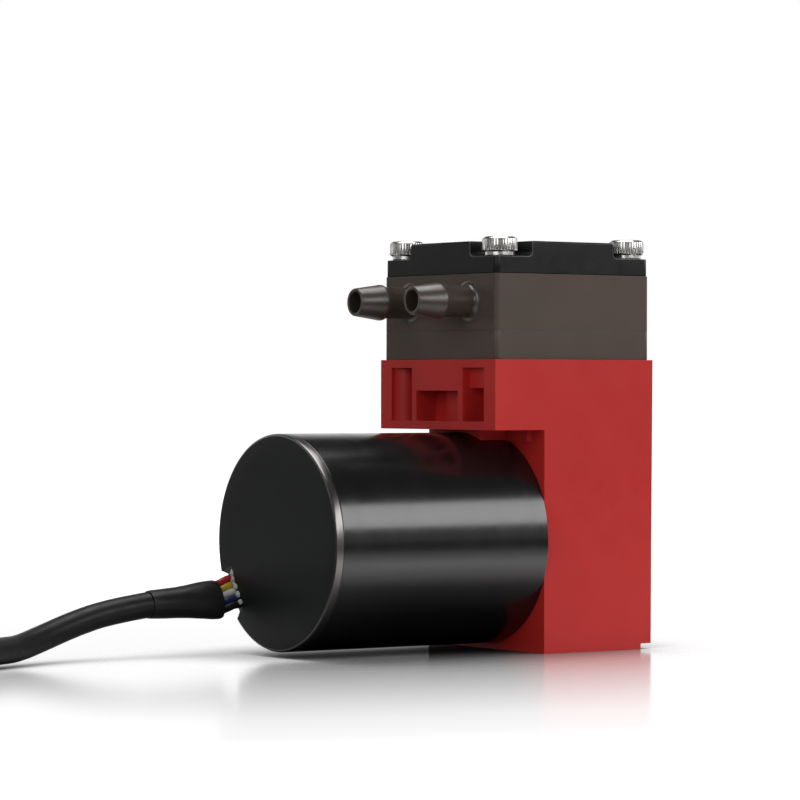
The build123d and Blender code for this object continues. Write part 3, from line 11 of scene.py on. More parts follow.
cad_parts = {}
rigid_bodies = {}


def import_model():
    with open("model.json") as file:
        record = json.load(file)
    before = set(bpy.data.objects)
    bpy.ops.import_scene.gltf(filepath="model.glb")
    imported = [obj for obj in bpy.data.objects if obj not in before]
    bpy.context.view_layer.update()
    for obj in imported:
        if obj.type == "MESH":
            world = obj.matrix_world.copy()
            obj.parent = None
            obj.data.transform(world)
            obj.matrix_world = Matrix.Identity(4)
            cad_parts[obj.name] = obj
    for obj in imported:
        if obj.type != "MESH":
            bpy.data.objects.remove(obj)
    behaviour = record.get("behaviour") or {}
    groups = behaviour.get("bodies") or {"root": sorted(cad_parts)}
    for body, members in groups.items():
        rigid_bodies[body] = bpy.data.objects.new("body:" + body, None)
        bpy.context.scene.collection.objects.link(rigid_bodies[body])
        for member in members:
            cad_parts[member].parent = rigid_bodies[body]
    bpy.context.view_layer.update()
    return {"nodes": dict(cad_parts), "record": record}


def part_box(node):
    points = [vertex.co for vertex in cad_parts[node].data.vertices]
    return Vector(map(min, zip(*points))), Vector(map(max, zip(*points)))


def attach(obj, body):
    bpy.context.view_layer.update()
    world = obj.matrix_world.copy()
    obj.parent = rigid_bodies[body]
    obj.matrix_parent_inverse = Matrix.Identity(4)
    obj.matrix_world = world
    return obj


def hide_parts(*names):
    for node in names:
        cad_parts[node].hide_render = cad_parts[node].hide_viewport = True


bl_info = {
    "name": "Diaphragm Vacuum Pump",
    "version": (1, 0, 0),
    "blender": (4, 5, 0),
    "location": "View3D > Sidebar > Pump",
    "description": "Builds the visible pieces and finishes of a small diaphragm vacuum pump",
    "category": "Object",
}

for leftover in list(bpy.data.objects):
    bpy.data.objects.remove(leftover)
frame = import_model()

MM = 0.001
CAN_LOW, CAN_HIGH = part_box("motor_can")
CAP_LOW, CAP_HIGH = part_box("motor_end_cap")
PLATE_LOW, PLATE_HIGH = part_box("head_plate")
COVER_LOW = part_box("top_cover")[0]
SCREWS_LOW, SCREWS_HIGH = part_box("head_screws")
BOOT_LOW, BOOT_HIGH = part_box("sleeve_boot")
MOTOR_Z = (CAN_LOW.z + CAN_HIGH.z) / 2
MOTOR_RADIUS = (CAN_HIGH.y - CAN_LOW.y) / 2

# The head is square, and its nozzles stand out of the face on the motor's side
HEAD_FACE = -PLATE_HIGH.x
NOZZLE_Z = PLATE_LOW.z + 4.5 * MM
NOZZLE_OFFSET = 7.8 * MM
NOZZLE_CLEAR = 4 * MM  # Half the height of the face that the nozzles' roots take

# Middle of each lead's exit from the motor, along Y
LEAD_NAMES = ("red", "yellow", "white", "blue", "black")
LEAD_ROW = [sum(corner.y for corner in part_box(f"lead_{name}")) / 2 for name in LEAD_NAMES]

# Control points of the cable, from the boot down to the surface, and of the tail after the coil
CABLE_ROUTE = [
    Vector(point) * MM for point in (
        (-61.0, 12.224, 8.062), (-68.0, 12.3, 7.2), (-74.5, 11.6, 5.6), (-80.5, 10.0, 3.9),
        (-86.5, 7.13, 2.6), (-90.4, 4.88, 2.6), (-96.0, 1.65, 2.6),
    )
]
TAIL_ROUTE = [
    Vector(point) * MM for point in (
        (-108.0, 36.2, 6.6), (-103.6, 35.6, 5.9), (-98.5, 35.3, 3.4), (-93.5, 35.0, 2.6),
    )
]

# The coil winds inwards on the surface, climbs on itself and winds outwards again
COIL_MIDDLE = Vector((-112.0, 15.5, 0)) * MM
COIL_START = radians(-60)
COIL_TURNS = 2.583
POINTS_PER_TURN = 16
CLIMB_START, CLIMB_END = 1.2, 1.4
LOWER_LAY, UPPER_LAY = 2.6 * MM, 6.6 * MM
HULL_SHARE = 0.981  # A turn of the spline has this share of its control points' radius

# The view: where the camera stands, how it is turned in degrees, and its lens
CAMERA_PLACE = Vector((-348.41, -466.82, 41.11)) * MM
CAMERA_HEADING, CAMERA_TILT, CAMERA_ROLL = -34.915, 90 - 0.169, 0.094
CAMERA_LENS, CAMERA_SENSOR = 163.94, 36
PUMP_MIDDLE = Vector((-0.01, 0, 0.025))


# Settings ---------------------------------------------------------------------------
def length(name, value, text):
    """A length, given in millimetres and kept in metres."""
    return FloatProperty(
        name=name, description=text, default=value * MM, unit="LENGTH", precision=5
    )


def colour(name, value, text):
    """A colour in linear light."""
    return FloatVectorProperty(
        name=name, description=text, default=value, subtype="COLOR", size=3, min=0, max=1
    )


class MotorSettings(bpy.types.PropertyGroup):
    can_edge: length("Can edge", 0.22, "Rounding of the can's two ends")
    rim: colour("Rim", (0.19, 0.182, 0.176), "Colour of the end cap's bright rim")
    cap_edge: length("Cap edge", 0.4, "Chamfer round the end cap's face")
    segments: IntProperty(name="Segments", description="Sides of the turned parts", default=144)
    anodised: colour("Anodised", (0.0045, 0.0045, 0.005), "Colour of the can")
    cap: colour("End cap", (0.0085, 0.0092, 0.0098), "Colour of the end cap")


class BodySettings(bpy.types.PropertyGroup):
    mould_edge: length("Mould edge", 0.16, "Rounding of the housing's edges")
    red: colour("Red", (0.50, 0.024, 0.021), "Colour of the housing")


class HeadSettings(bpy.types.PropertyGroup):
    plate_edge: length("Plate edge", 0.12, "Rounding of the two plates' edges")
    cover_edge: length("Cover edge", 0.16, "Rounding of the top cover's edges")
    barb_radius: length("Barb radius", 2.825, "Radius of a nozzle's barb")
    shank_radius: length("Shank radius", 2.475, "Radius of a nozzle behind its barb")
    bore_radius: length("Bore radius", 1.7, "Radius of a nozzle's bore")
    ridges: IntProperty(name="Ridges", description="Ridges round a screw's head", default=38)
    ridge_depth: length("Ridge depth", 0.13, "Depth of the knurl")
    brown: colour("Brown", (0.082, 0.060, 0.049), "Colour of the two plates")
    black: colour("Black", (0.0085, 0.0085, 0.0087), "Colour of the top cover")
    # Painted highlight: a paler grey on the top cover's upper bevels that stands in for the light
    # its edges catch
    painted_highlight: colour("Painted_highlight edge", (0.075, 0.073, 0.07), "Colour of the top cover's highlight_painted edges")
    steel: colour("Steel", (0.70, 0.69, 0.67), "Colour of the screws")


class LeadSettings(bpy.types.PropertyGroup):
    cable_diameter: length("Cable diameter", 4.0, "Diameter of the sleeved cable")
    wire_diameter: length("Wire diameter", 1.2, "Diameter of one insulated wire")
    cable_length: length("Cable length", 366.0, "Length of the cable from the boot to its end")
    coil_radius: length("Coil radius", 19.0, "Mean radius of the coil's turns")
    sleeve: colour("Sleeve", (0.010, 0.010, 0.0105), "Colour of the sleeve")


class StudioSettings(bpy.types.PropertyGroup):
    key: FloatProperty(
        name="Key", description="Radiance of the wide key light", default=3.65, min=0
    )
    top: FloatProperty(
        name="Top", description="Radiance of the light overhead", default=4.0, min=0
    )
    side: FloatProperty(
        name="Side", description="Radiance of the light at the nozzles' side", default=1.9, min=0
    )
    sky: FloatProperty(
        name="Sky", description="Level of the room's own light", default=0.3, min=0
    )
    floor: colour("Floor", (0.82, 0.82, 0.82), "Colour of the table")


# Node materials ---------------------------------------------------------------------
def node(tree, kind, inputs=(), **settings):
    """Adds a shader node. Each input is a value, or a socket to link from."""
    made = tree.nodes.new("ShaderNode" + kind)
    for name, value in settings.items():
        setattr(made, name, value)
    for name, value in dict(inputs).items():
        if isinstance(value, bpy.types.NodeSocket):
            tree.links.new(value, made.inputs[name])
        else:
            made.inputs[name].default_value = value
    return made


def ramp(tree, factor, *stops):
    """A colour ramp from (position, colour or grey) stops."""
    made = node(tree, "ValToRGB", {"Fac": factor})
    elements = made.color_ramp.elements
    while len(elements) < len(stops):
        elements.new(0.5)
    for element, (position, value) in zip(elements, stops):
        element.position = position
        element.color = (*([value] * 3 if isinstance(value, (int, float)) else value), 1)
    return made.outputs["Color"]


def tinted(base, factor):
    """A colour made darker or paler, and never over white."""
    return tuple(min(1, channel * factor) for channel in base)


class Finish:
    """A procedural material that grows from one Principled shader."""

    def __init__(self, name, **sockets):
        self.name = name
        self.material = bpy.data.materials.new(name)
        self.material.use_nodes = True
        self.tree = self.material.node_tree
        self.shader = self.tree.nodes["Principled BSDF"]
        self.place = node(self.tree, "TexCoord").outputs["Object"]
        for socket, value in sockets.items():
            self.shader.inputs[socket.replace("_", " ")].default_value = value

    def cloud(self, scale, detail=3, stretch=(1, 1, 1)):
        """Soft noise with so many patches to the metre."""
        place = node(self.tree, "Mapping", {"Vector": self.place, "Scale": stretch})
        inputs = {"Vector": place.outputs["Vector"], "Scale": scale, "Detail": detail}
        return node(self.tree, "TexNoise", inputs).outputs["Fac"]

    def tint(self, factor, *stops):
        self.tree.links.new(ramp(self.tree, factor, *stops), self.shader.inputs["Base Color"])

    def rough(self, factor, low, high):
        spread = node(
            self.tree, "MapRange",
            {"Value": factor, "From Min": 0.3, "From Max": 0.7, "To Min": low, "To Max": high},
        )
        self.tree.links.new(spread.outputs["Result"], self.shader.inputs["Roughness"])

    def relief(self, factor, height):
        """Adds a bump over those that the finish already has."""
        inputs = {"Height": factor, "Distance": height, "Strength": 1.0}
        under = self.shader.inputs["Normal"]
        if under.links:
            inputs["Normal"] = under.links[0].from_socket
        bump = node(self.tree, "Bump", inputs)
        self.tree.links.new(bump.outputs["Normal"], under)


def moulded(name, base, low, high, grain=2400, height=0.000012, patch=70, **sockets):
    """Moulded plastic or rubber: faint flow patches, and the grain of the mould.

    Its roughness goes from low to high. Grain and patch are counts to the metre, and height is
    the grain's in metres.
    """
    finish = Finish(name, **{"Specular_IOR_Level": 0.25, **sockets})
    finish.tint(finish.cloud(patch, 4), (0.3, tinted(base, 0.93)), (0.7, tinted(base, 1.06)))
    finish.rough(finish.cloud(patch * 6, 3), low, high)
    finish.relief(finish.cloud(grain, 2), height)
    return finish


def waves(tree, place, spacing):
    """A sine along a value in metres, with so much space from crest to crest."""
    turns = node(tree, "Math", {0: place, 1: 2 * pi / spacing}, operation="MULTIPLY")
    return node(tree, "Math", {0: turns.outputs["Value"]}, operation="SINE").outputs["Value"]


def ringed(name, base, low, high, spacing, height, **sockets):
    """A face or barrel cut on a lathe: fine rings about the motor's line, sized in metres."""
    finish = Finish(name, **sockets)
    tree = finish.tree
    shifted = node(
        tree, "Mapping",
        {"Vector": finish.place, "Location": (0, 0, -MOTOR_Z), "Scale": (0, 1, 1)},
    ).outputs["Vector"]
    radius = node(tree, "VectorMath", {0: shifted}, operation="LENGTH").outputs["Value"]
    along = node(tree, "SeparateXYZ", {"Vector": finish.place}).outputs["X"]
    path = node(tree, "Math", {0: radius, 1: along}, operation="ADD").outputs["Value"]
    finish.tint(finish.cloud(60, 3), (0.3, tinted(base, 0.9)), (0.7, tinted(base, 1.1)))
    finish.rough(finish.cloud(500, 2, (1, 0.2, 0.2)), low, high)
    finish.relief(waves(tree, path, spacing), height)
    finish.relief(finish.cloud(1800, 2), height / 2)
    return finish


def banded(name, base, dark, low, high, direction, spacing, height, **sockets):
    """Wound wire or stacked sheets: even bands square to a direction, sized in metres."""
    finish = Finish(name, **sockets)
    along = node(
        finish.tree, "VectorMath", {0: finish.place, 1: direction}, operation="DOT_PRODUCT"
    )
    wave = waves(finish.tree, along.outputs["Value"], spacing)
    finish.tint(wave, (0.1, dark), (0.9, base))
    finish.rough(finish.cloud(900, 2), low, high)
    finish.relief(wave, height)
    return finish


def make_finishes(scene):
    """One finish for each material slot of the record, and a few for parts of a piece."""
    motor, body, head, lead = scene.pump_motor, scene.pump_body, scene.pump_head, scene.pump_lead
    made = [
        moulded("red_plastic", tuple(body.red), 0.36, 0.46, 2600, 0.000008, 45),
        moulded("brown_plastic", tuple(head.brown), 0.34, 0.44, 2400, 0.000008, 60),
        moulded("black_plastic", tuple(head.black), 0.30, 0.40, 2400, 0.000008, 80),
        # cover_edge is a painted highlight: its paler grey stands in for light along the cover's
        # edges
        moulded("cover_edge", tuple(head.painted_highlight), 0.28, 0.36, 2400, 0.000004, 90),
        moulded(
            "nozzle_gloss", tinted(head.brown, 0.6), 0.31, 0.38, 2400, 0.000004, 90,
            Specular_IOR_Level=0.9,
        ),
        ringed(
            "black_anodised", tuple(motor.anodised), 0.17, 0.21, 0.0004, 0.0000002,
            Specular_IOR_Level=0.84,
        ),
        ringed(
            "black_end", tuple(motor.cap), 0.36, 0.44, 0.00035, 0.0000012, Specular_IOR_Level=0.2
        ),
        banded(
            "laminations", (0.32, 0.32, 0.33), (0.12, 0.12, 0.13), 0.35, 0.5, (1, 0, 0), 0.0005,
            0.00004, Metallic=1.0,
        ),
        banded(
            "copper", (0.62, 0.22, 0.09), (0.22, 0.06, 0.02), 0.18, 0.3, (1, 0.25, 0.25), 0.00045,
            0.00006, Metallic=1.0, Coat_Weight=0.6,
        ),
        moulded("board", (0.012, 0.13, 0.05), 0.28, 0.4, 1200, 0.00001, 300, Coat_Weight=0.4),
        moulded("chip", (0.018, 0.018, 0.02), 0.4, 0.55, 3000, 0.00001, 200),
        moulded("diaphragm_rubber", (0.012, 0.012, 0.012), 0.5, 0.65, 1800, 0.00002),
        moulded("valve_rubber", (0.32, 0.1, 0.04), 0.45, 0.6, 1800, 0.00002),
        moulded("rod_plastic", (0.035, 0.035, 0.037), 0.4, 0.55, 1500, 0.00002),
        moulded(
            "glue", (0.62, 0.6, 0.55), 0.12, 0.25, 900, 0.00006, 300,
            Transmission_Weight=0.35, Subsurface_Weight=0.4, Subsurface_Scale=0.0008,
        ),
        moulded("sleeve", tuple(lead.sleeve), 0.34, 0.46, 900, 0.00003, 120),
        moulded("connector_nylon", (0.72, 0.70, 0.63), 0.34, 0.44, 2200, 0.00001),
        moulded("tie_nylon", (0.015, 0.015, 0.015), 0.3, 0.4, 2200, 0.00001),
    ]
    metals = (
        ("cap_rim", tuple(motor.rim), 0.22, 0.3, 0.0004, 0.0000004),
        ("steel", tuple(head.steel), 0.2, 0.32, 0.0003, 0.000001),
        ("bearing_steel", (0.68, 0.68, 0.69), 0.08, 0.16, 0.0002, 0.0000004),
        ("aluminium", (0.6, 0.6, 0.62), 0.24, 0.36, 0.0003, 0.000002),
        ("brass", (0.62, 0.43, 0.17), 0.18, 0.3, 0.0003, 0.000002),
        ("magnet", (0.2, 0.2, 0.21), 0.25, 0.36, 0.0004, 0.000001),
    )
    made += [ringed(*metal, Metallic=1.0) for metal in metals]
    wires = {
        "red": (0.36, 0.018, 0.026), "yellow": (0.42, 0.31, 0.02), "white": (0.5, 0.5, 0.48),
        "blue": (0.016, 0.024, 0.1), "black": (0.01, 0.01, 0.011),
    }
    made += [
        moulded(f"{name}_wire", wires[name], 0.22, 0.3, 1500, 0.000006) for name in LEAD_NAMES
    ]
    return {finish.name: finish for finish in made}


FINISHES = {}


# Shapes -----------------------------------------------------------------------------
def add_piece(shape, name, finish, replaced=(), crease=32, looks=()):
    """Turns a bmesh, or a ready object, into a piece on the pump's body.

    It stands for the replaced CAD nodes. Edges sharper than the crease stay sharp, and looks
    names its materials where they aren't the finish alone.
    """
    if isinstance(shape, bmesh.types.BMesh):
        mesh = bpy.data.meshes.new(name)
        shape.to_mesh(mesh)
        shape.free()
        mesh.polygons.foreach_set("use_smooth", [True] * len(mesh.polygons))
        mesh.set_sharp_from_angle(angle=radians(crease))
        shape = bpy.data.objects.new(name, mesh)
    bpy.context.scene.collection.objects.link(shape)
    if not shape.data.materials:
        for look in looks or (finish,):
            shape.data.materials.append(FINISHES[look].material)
    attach(shape, "pump")
    if replaced:
        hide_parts(*([replaced] if isinstance(replaced, str) else replaced))
    return shape


def flat_shading(piece):
    """Keeps broad faces flat beside their rounded edges."""
    modifier = piece.modifiers.new("Weighted normals", "WEIGHTED_NORMAL")
    modifier.keep_sharp = True
    modifier.weight = 60


def round_edges(shape, width, steps=2, angle=35, chosen=lambda edge: True):
    """Rounds the chosen edges whose faces meet at more than an angle, and returns the new faces."""
    edges = [
        edge for edge in shape.edges
        if edge.is_manifold and edge.calc_face_angle(0) > radians(angle) and chosen(edge)
    ]
    made = bmesh.ops.bevel(
        shape, geom=edges, offset=width, segments=steps, profile=0.5, affect="EDGES",
        clamp_overlap=True, material=-1, loop_slide=True,
    )
    return made["faces"]


def lathe(profile, steps, centre=(0, 0, MOTOR_Z), axis=(1, 0, 0), closed=True):
    """Spins (along, radius) points about an axis along X or Z into a shape."""
    shape = bmesh.new()
    outward = Vector((1, 0, 0)) if axis[2] else Vector((0, 0, 1))
    corners = [
        shape.verts.new(Vector(centre) + Vector(axis) * along + outward * radius)
        for along, radius in profile
    ]
    pairs = list(zip(corners, corners[1:])) + ([(corners[-1], corners[0])] if closed else [])
    edges = [shape.edges.new(pair) for pair in pairs]
    bmesh.ops.spin(
        shape, geom=corners + edges, cent=centre, axis=axis, angle=2 * pi, steps=steps,
        use_merge=True,
    )
    bmesh.ops.remove_doubles(shape, verts=shape.verts, dist=1e-7)
    bmesh.ops.recalc_face_normals(shape, faces=shape.faces)
    return shape


def cad_copy(name):
    """A merged copy of a CAD node, with its flat faces whole again."""
    shape = bmesh.new()
    shape.from_mesh(frame["nodes"][name].data)
    bmesh.ops.remove_doubles(shape, verts=shape.verts, dist=2e-6)
    bmesh.ops.dissolve_limit(
        shape, angle_limit=radians(0.6), verts=shape.verts, edges=shape.edges, delimit={"NORMAL"}
    )
    return shape


def round_line(name, diameter, fineness):
    """An empty curve that its bevel makes round, with closed ends."""
    line = bpy.data.curves.new(name, "CURVE")
    line.dimensions = "3D"
    line.bevel_depth = diameter / 2
    line.bevel_resolution = fineness
    line.use_fill_caps = True
    return line


def add_spline(line, points):
    """Adds a NURBS spline that starts and ends at its outer control points."""
    spline = line.splines.new("NURBS")
    spline.points.add(len(points) - 1)
    for point, place in zip(spline.points, points):
        point.co = (*place, 1)
    spline.order_u = 3
    spline.use_endpoint_u = True
    return spline


def smooth_wire(name, points, diameter, finish, replaced=()):
    """A round wire along one smooth line."""
    line = round_line(name, diameter, 6)
    add_spline(line, points).resolution_u = 6
    return add_piece(bpy.data.objects.new(name, line), name, finish, replaced)


# Operators --------------------------------------------------------------------------
class PUMP_OT_finishes(bpy.types.Operator):
    """Make every finish and give it to the CAD nodes that stay"""

    bl_idname = "pump.finishes"
    bl_label = "Finishes"

    def execute(self, context):
        FINISHES.update(make_finishes(context.scene))
        for part in frame["record"]["subparts"]:
            mesh = frame["nodes"][part["node"]].data
            mesh.materials.clear()
            mesh.materials.append(FINISHES[part["material_slot"]].material)
        return {"FINISHED"}


class PUMP_OT_motor(bpy.types.Operator):
    """Build the motor's can and its end cap"""

    bl_idname = "pump.motor"
    bl_label = "Motor"

    def execute(self, context):
        motor = context.scene.pump_motor
        inside = MOTOR_RADIUS - 1.3 * MM
        can = lathe(
            [
                (CAN_LOW.x, inside), (CAN_LOW.x, MOTOR_RADIUS),
                (CAN_HIGH.x, MOTOR_RADIUS), (CAN_HIGH.x, inside),
            ],
            motor.segments,
        )
        round_edges(
            can, motor.can_edge, 3, chosen=lambda edge: self.radius(edge) > inside + 0.5 * MM
        )
        flat_shading(add_piece(can, "motor_barrel", "black_anodised", "motor_can"))
        self.add_cap(motor, inside)
        return {"FINISHED"}

    def add_cap(self, motor, inside):
        """The end cap: a disc with a lip in the can, and a notch in its rim for the leads."""
        face, seam, back = CAP_LOW.x, CAN_LOW.x, CAP_HIGH.x
        shoulder = seam - 0.03 * MM
        lip = inside - 1.2 * MM
        notch = inside - 2.1 * MM
        cap = lathe(
            [
                (face, 0), (face, notch), (face, MOTOR_RADIUS), (shoulder, MOTOR_RADIUS),
                (shoulder, inside), (back, inside), (back, lip), (seam, lip), (seam, 0),
            ],
            motor.segments, closed=False,
        )
        # The notch's two sides, seen along the motor's line
        start, end = radians(-47), radians(-18)
        gone = [
            part for part in cap.faces
            if start < self.angle(part) < end and self.reach(part) > notch
        ]
        bmesh.ops.delete(cap, geom=gone, context="FACES")
        walls = [edge for edge in cap.edges if edge.is_boundary]
        bmesh.ops.holes_fill(cap, edges=walls, sides=0)
        bmesh.ops.recalc_face_normals(cap, faces=cap.faces)
        round_edges(
            cap, motor.cap_edge,
            chosen=lambda edge: self.radius(edge) > MOTOR_RADIUS - 0.05 * MM
            and all(abs(vert.co.x - face) < 0.01 * MM for vert in edge.verts),
        )
        # The chamfer and the outer wall shine
        rim = MOTOR_RADIUS - 2 * motor.cap_edge
        for part in cap.faces:
            outward = hypot(part.normal.y, part.normal.z)
            part.material_index = int(outward > 0.3 and self.reach(part) > rim)
        looks = ("black_end", "cap_rim")
        flat_shading(add_piece(cap, "end_cap", "black_end", "motor_end_cap", looks=looks))

    @staticmethod
    def radius(edge):
        """How near an edge comes to the motor's line."""
        return min(hypot(vert.co.y, vert.co.z - MOTOR_Z) for vert in edge.verts)

    @staticmethod
    def reach(part):
        """How far a face's middle is from the motor's line."""
        middle = part.calc_center_median()
        return hypot(middle.y, middle.z - MOTOR_Z)

    @staticmethod
    def angle(part):
        """Where a face's middle is round the motor's line, from +Y towards +Z."""
        middle = part.calc_center_median()
        return atan2(middle.z - MOTOR_Z, middle.y)


class PUMP_OT_housing(bpy.types.Operator):
    """Round the edges of the moulded housing and its rear cover"""

    bl_idname = "pump.housing"
    bl_label = "Housing"

    def execute(self, context):
        body = context.scene.pump_body
        for node_name, name, width in (
            ("housing", "moulded_housing", body.mould_edge),
            ("rear_cover", "moulded_rear_cover", body.mould_edge / 2),
        ):
            shape = cad_copy(node_name)
            round_edges(shape, width)
            flat_shading(add_piece(shape, name, "red_plastic", node_name))
        return {"FINISHED"}


class PUMP_OT_head(bpy.types.Operator):
    """Build the head: the two brown plates and the black cover"""

    bl_idname = "pump.head"
    bl_label = "Head"

    def execute(self, context):
        head = context.scene.pump_head
        lower = cad_copy("chamber_plate")
        round_edges(lower, head.plate_edge)
        flat_shading(add_piece(lower, "lower_plate", "brown_plastic", "chamber_plate"))

        cover = cad_copy("top_cover")
        # The upper bevel faces take the cover_edge finish, a painted highlight along the cover's
        # edges
        for part in round_edges(cover, head.cover_edge):
            part.material_index = int(part.calc_center_median().z > COVER_LOW.z + 0.3 * MM)
        looks = ("black_plastic", "cover_edge")
        flat_shading(add_piece(cover, "notched_cover", "black_plastic", "top_cover", looks=looks))

        upper = cad_copy("head_plate")
        self.drop_nozzles(upper)
        round_edges(upper, head.plate_edge, chosen=self.off_nozzle_face)
        flat_shading(add_piece(upper, "upper_plate", "brown_plastic", "head_plate"))
        return {"FINISHED"}

    @staticmethod
    def drop_nozzles(plate):
        """Cuts off the plain nozzles, and closes the ring that each one leaves round its bore."""
        cut = bmesh.ops.bisect_plane(
            plate, geom=plate.verts[:] + plate.edges[:] + plate.faces[:],
            plane_co=(HEAD_FACE - 0.001 * MM, 0, 0), plane_no=(-1, 0, 0), clear_outer=True,
        )["geom_cut"]
        rims = [
            part for part in cut if isinstance(part, bmesh.types.BMEdge) and part.is_boundary
        ]
        for side in (-1, 1):
            rim = [edge for edge in rims if edge.verts[0].co.y * side > 0]
            bmesh.ops.bridge_loops(plate, edges=rim)

    @staticmethod
    def off_nozzle_face(edge):
        """Whether an edge is clear of the nozzles' roots, which stay sharp."""
        inward = max(vert.co.x for vert in edge.verts) > HEAD_FACE + 0.3 * MM
        return inward or abs(edge.verts[0].co.z - NOZZLE_Z) > NOZZLE_CLEAR


class PUMP_OT_nozzles(bpy.types.Operator):
    """Turn the two barbed hose nozzles"""

    bl_idname = "pump.nozzles"
    bl_label = "Nozzles"

    def execute(self, context):
        head = context.scene.pump_head
        face, barb, shank, bore = HEAD_FACE, head.barb_radius, head.shank_radius, head.bore_radius
        root = 0.8 * MM
        flare = [
            (face - root * (1 - sin(a)), shank + root * (1 - cos(a)))
            for a in [radians(90 - 18 * i) for i in range(6)]
        ]
        # From inside the plate, out over the barb to the tip and back to the bore
        profile = [
            (face + 0.4 * MM, bore), (face + 0.4 * MM, shank + root), *flare,
            (face - 5.2 * MM, shank), (face - 5.75 * MM, barb - 0.02 * MM),
            (face - 5.85 * MM, barb), (face - 6.25 * MM, barb), (face - 6.4 * MM, barb - 0.04 * MM),
            (face - 10.62 * MM, 2.2 * MM), (face - 10.75 * MM, 2.12 * MM),
            (face - 10.8 * MM, 2.02 * MM), (face - 10.8 * MM, bore + 0.12 * MM),
            (face - 10.7 * MM, bore),
        ]
        both = bmesh.new()
        for side in (-1, 1):
            one = lathe(profile, 64, (0, side * NOZZLE_OFFSET, NOZZLE_Z))
            mesh = bpy.data.meshes.new("nozzle")
            one.to_mesh(mesh)
            both.from_mesh(mesh)
            one.free()
            bpy.data.meshes.remove(mesh)
        add_piece(both, "hose_nozzles", "brown_plastic", crease=40, looks=["nozzle_gloss"])
        return {"FINISHED"}


class PUMP_OT_head_screws(bpy.types.Operator):
    """Turn and knurl the four socket cap screws of the head"""

    bl_idname = "pump.head_screws"
    bl_label = "Head screws"

    def execute(self, context):
        head = context.scene.pump_head
        top, low = SCREWS_HIGH.z, SCREWS_LOW.z
        seat = top - 3 * MM
        wide, thread, socket = 2.75 * MM, 1.5 * MM, 1.25 * MM
        # A ridge takes four sides of the turning, and one of them is its groove
        steps = head.ridges * 4
        profile = [
            (low, 0), (low, 1.2 * MM), (low + 0.3 * MM, thread), (seat, thread), (seat, 2.2 * MM),
            (seat + 0.12 * MM, 2.35 * MM), (seat + 0.6 * MM, 2.35 * MM),
            (seat + 0.7 * MM, 2.5 * MM), (seat + 0.86 * MM, 2.72 * MM),
            (seat + 0.95 * MM, wide), (top - 0.42 * MM, wide),
            (top - 0.3 * MM, 2.7 * MM), (top - 0.05 * MM, 2.42 * MM), (top, 2.3 * MM),
            (top, 1.62 * MM), (top - 0.12 * MM, 1.45 * MM), (top - 1.5 * MM, 1.44 * MM),
            (top - 1.9 * MM, 0),
        ]
        one = lathe(profile, steps, (0, 0, 0), (0, 0, 1), closed=False)
        for vert in one.verts:
            radius, turn = hypot(vert.co.x, vert.co.y), atan2(vert.co.y, vert.co.x)
            in_socket = 1.4 * MM < radius < 1.5 * MM and vert.co.z > top - 1.6 * MM
            if radius > wide - 0.02 * MM and round(turn / (2 * pi) * steps) % 4 == 0:
                vert.co.xy *= 1 - head.ridge_depth / radius
            elif in_socket:
                vert.co.xy *= socket / cos((turn % (pi / 3)) - pi / 6) / radius
        mesh = bpy.data.meshes.new("screw")
        one.to_mesh(mesh)
        one.free()
        four = bmesh.new()
        reach = (SCREWS_HIGH.x - SCREWS_LOW.x) / 2 - wide
        for x in (-reach, reach):
            for y in (-reach, reach):
                # Each screw was driven home at a turn of its own
                driven = Matrix.Rotation(x * 700 + y * 300, 4, "Z")
                turned = mesh.copy()
                turned.transform(Matrix.Translation((x, y, 0)) @ driven)
                four.from_mesh(turned)
                bpy.data.meshes.remove(turned)
        bpy.data.meshes.remove(mesh)
        add_piece(four, "knurled_screws", "steel", "head_screws", crease=24)
        return {"FINISHED"}


class PUMP_OT_leads(bpy.types.Operator):
    """Run the five insulated wires out of the motor, with the glue that holds them"""

    bl_idname = "pump.leads"
    bl_label = "Leads"

    def execute(self, context):
        diameter = context.scene.pump_lead.wire_diameter
        radius = diameter / 2
        face = CAP_LOW.x
        for index, (name, y) in enumerate(zip(LEAD_NAMES, LEAD_ROW)):
            low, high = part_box(f"lead_{name}")
            top, bottom = high.z - radius, low.z + radius
            # The first lead sags most on its way to the boot, and the last least
            drop = 0.4 * MM * (1 - index / (len(LEAD_NAMES) - 1))
            middle = (top + bottom) / 2
            points = [
                (high.x, y, top), (face + 0.5 * MM, y, top),
                (face - 0.8 * MM, y, top - 0.1 * MM - 0.6 * drop),
                (face - 2.4 * MM, y, middle - 0.1 * MM - drop), (low.x, y, bottom),
            ]
            smooth_wire(f"wire_{name}", points, diameter, f"{name}_wire", f"lead_{name}")
        self.add_glue()
        return {"FINISHED"}

    @staticmethod
    def add_glue():
        """Hot glue in the notch: uneven beads down a slope across the leads, run together."""
        low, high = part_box("wire_glue")
        glue = bmesh.new()
        count = 13
        for bead in range(count):
            share = bead / (count - 1)
            size = (0.42 + 0.12 * sin(bead * 2.3)) * MM
            row = LEAD_ROW[0] + (LEAD_ROW[-1] - LEAD_ROW[0]) * share
            spot = Vector((
                low.x + 0.48 * MM + 0.1 * MM * cos(bead * 1.7),
                min(max(row + 0.62 * MM * sin(bead * 1.9), low.y + size), high.y - size),
                high.z - size - (high.z - low.z - 2 * size) * share,
            ))
            bmesh.ops.create_icosphere(
                glue, subdivisions=3, radius=size, matrix=Matrix.Translation(spot)
            )
        blob = add_piece(glue, "hot_glue", "glue", "wire_glue", crease=180)
        joined = blob.modifiers.new("Run together", "REMESH")
        joined.voxel_size = 0.09 * MM
        joined.use_smooth_shade = True
        softened = blob.modifiers.new("Softened", "SMOOTH")
        softened.factor = 0.5
        softened.iterations = 8


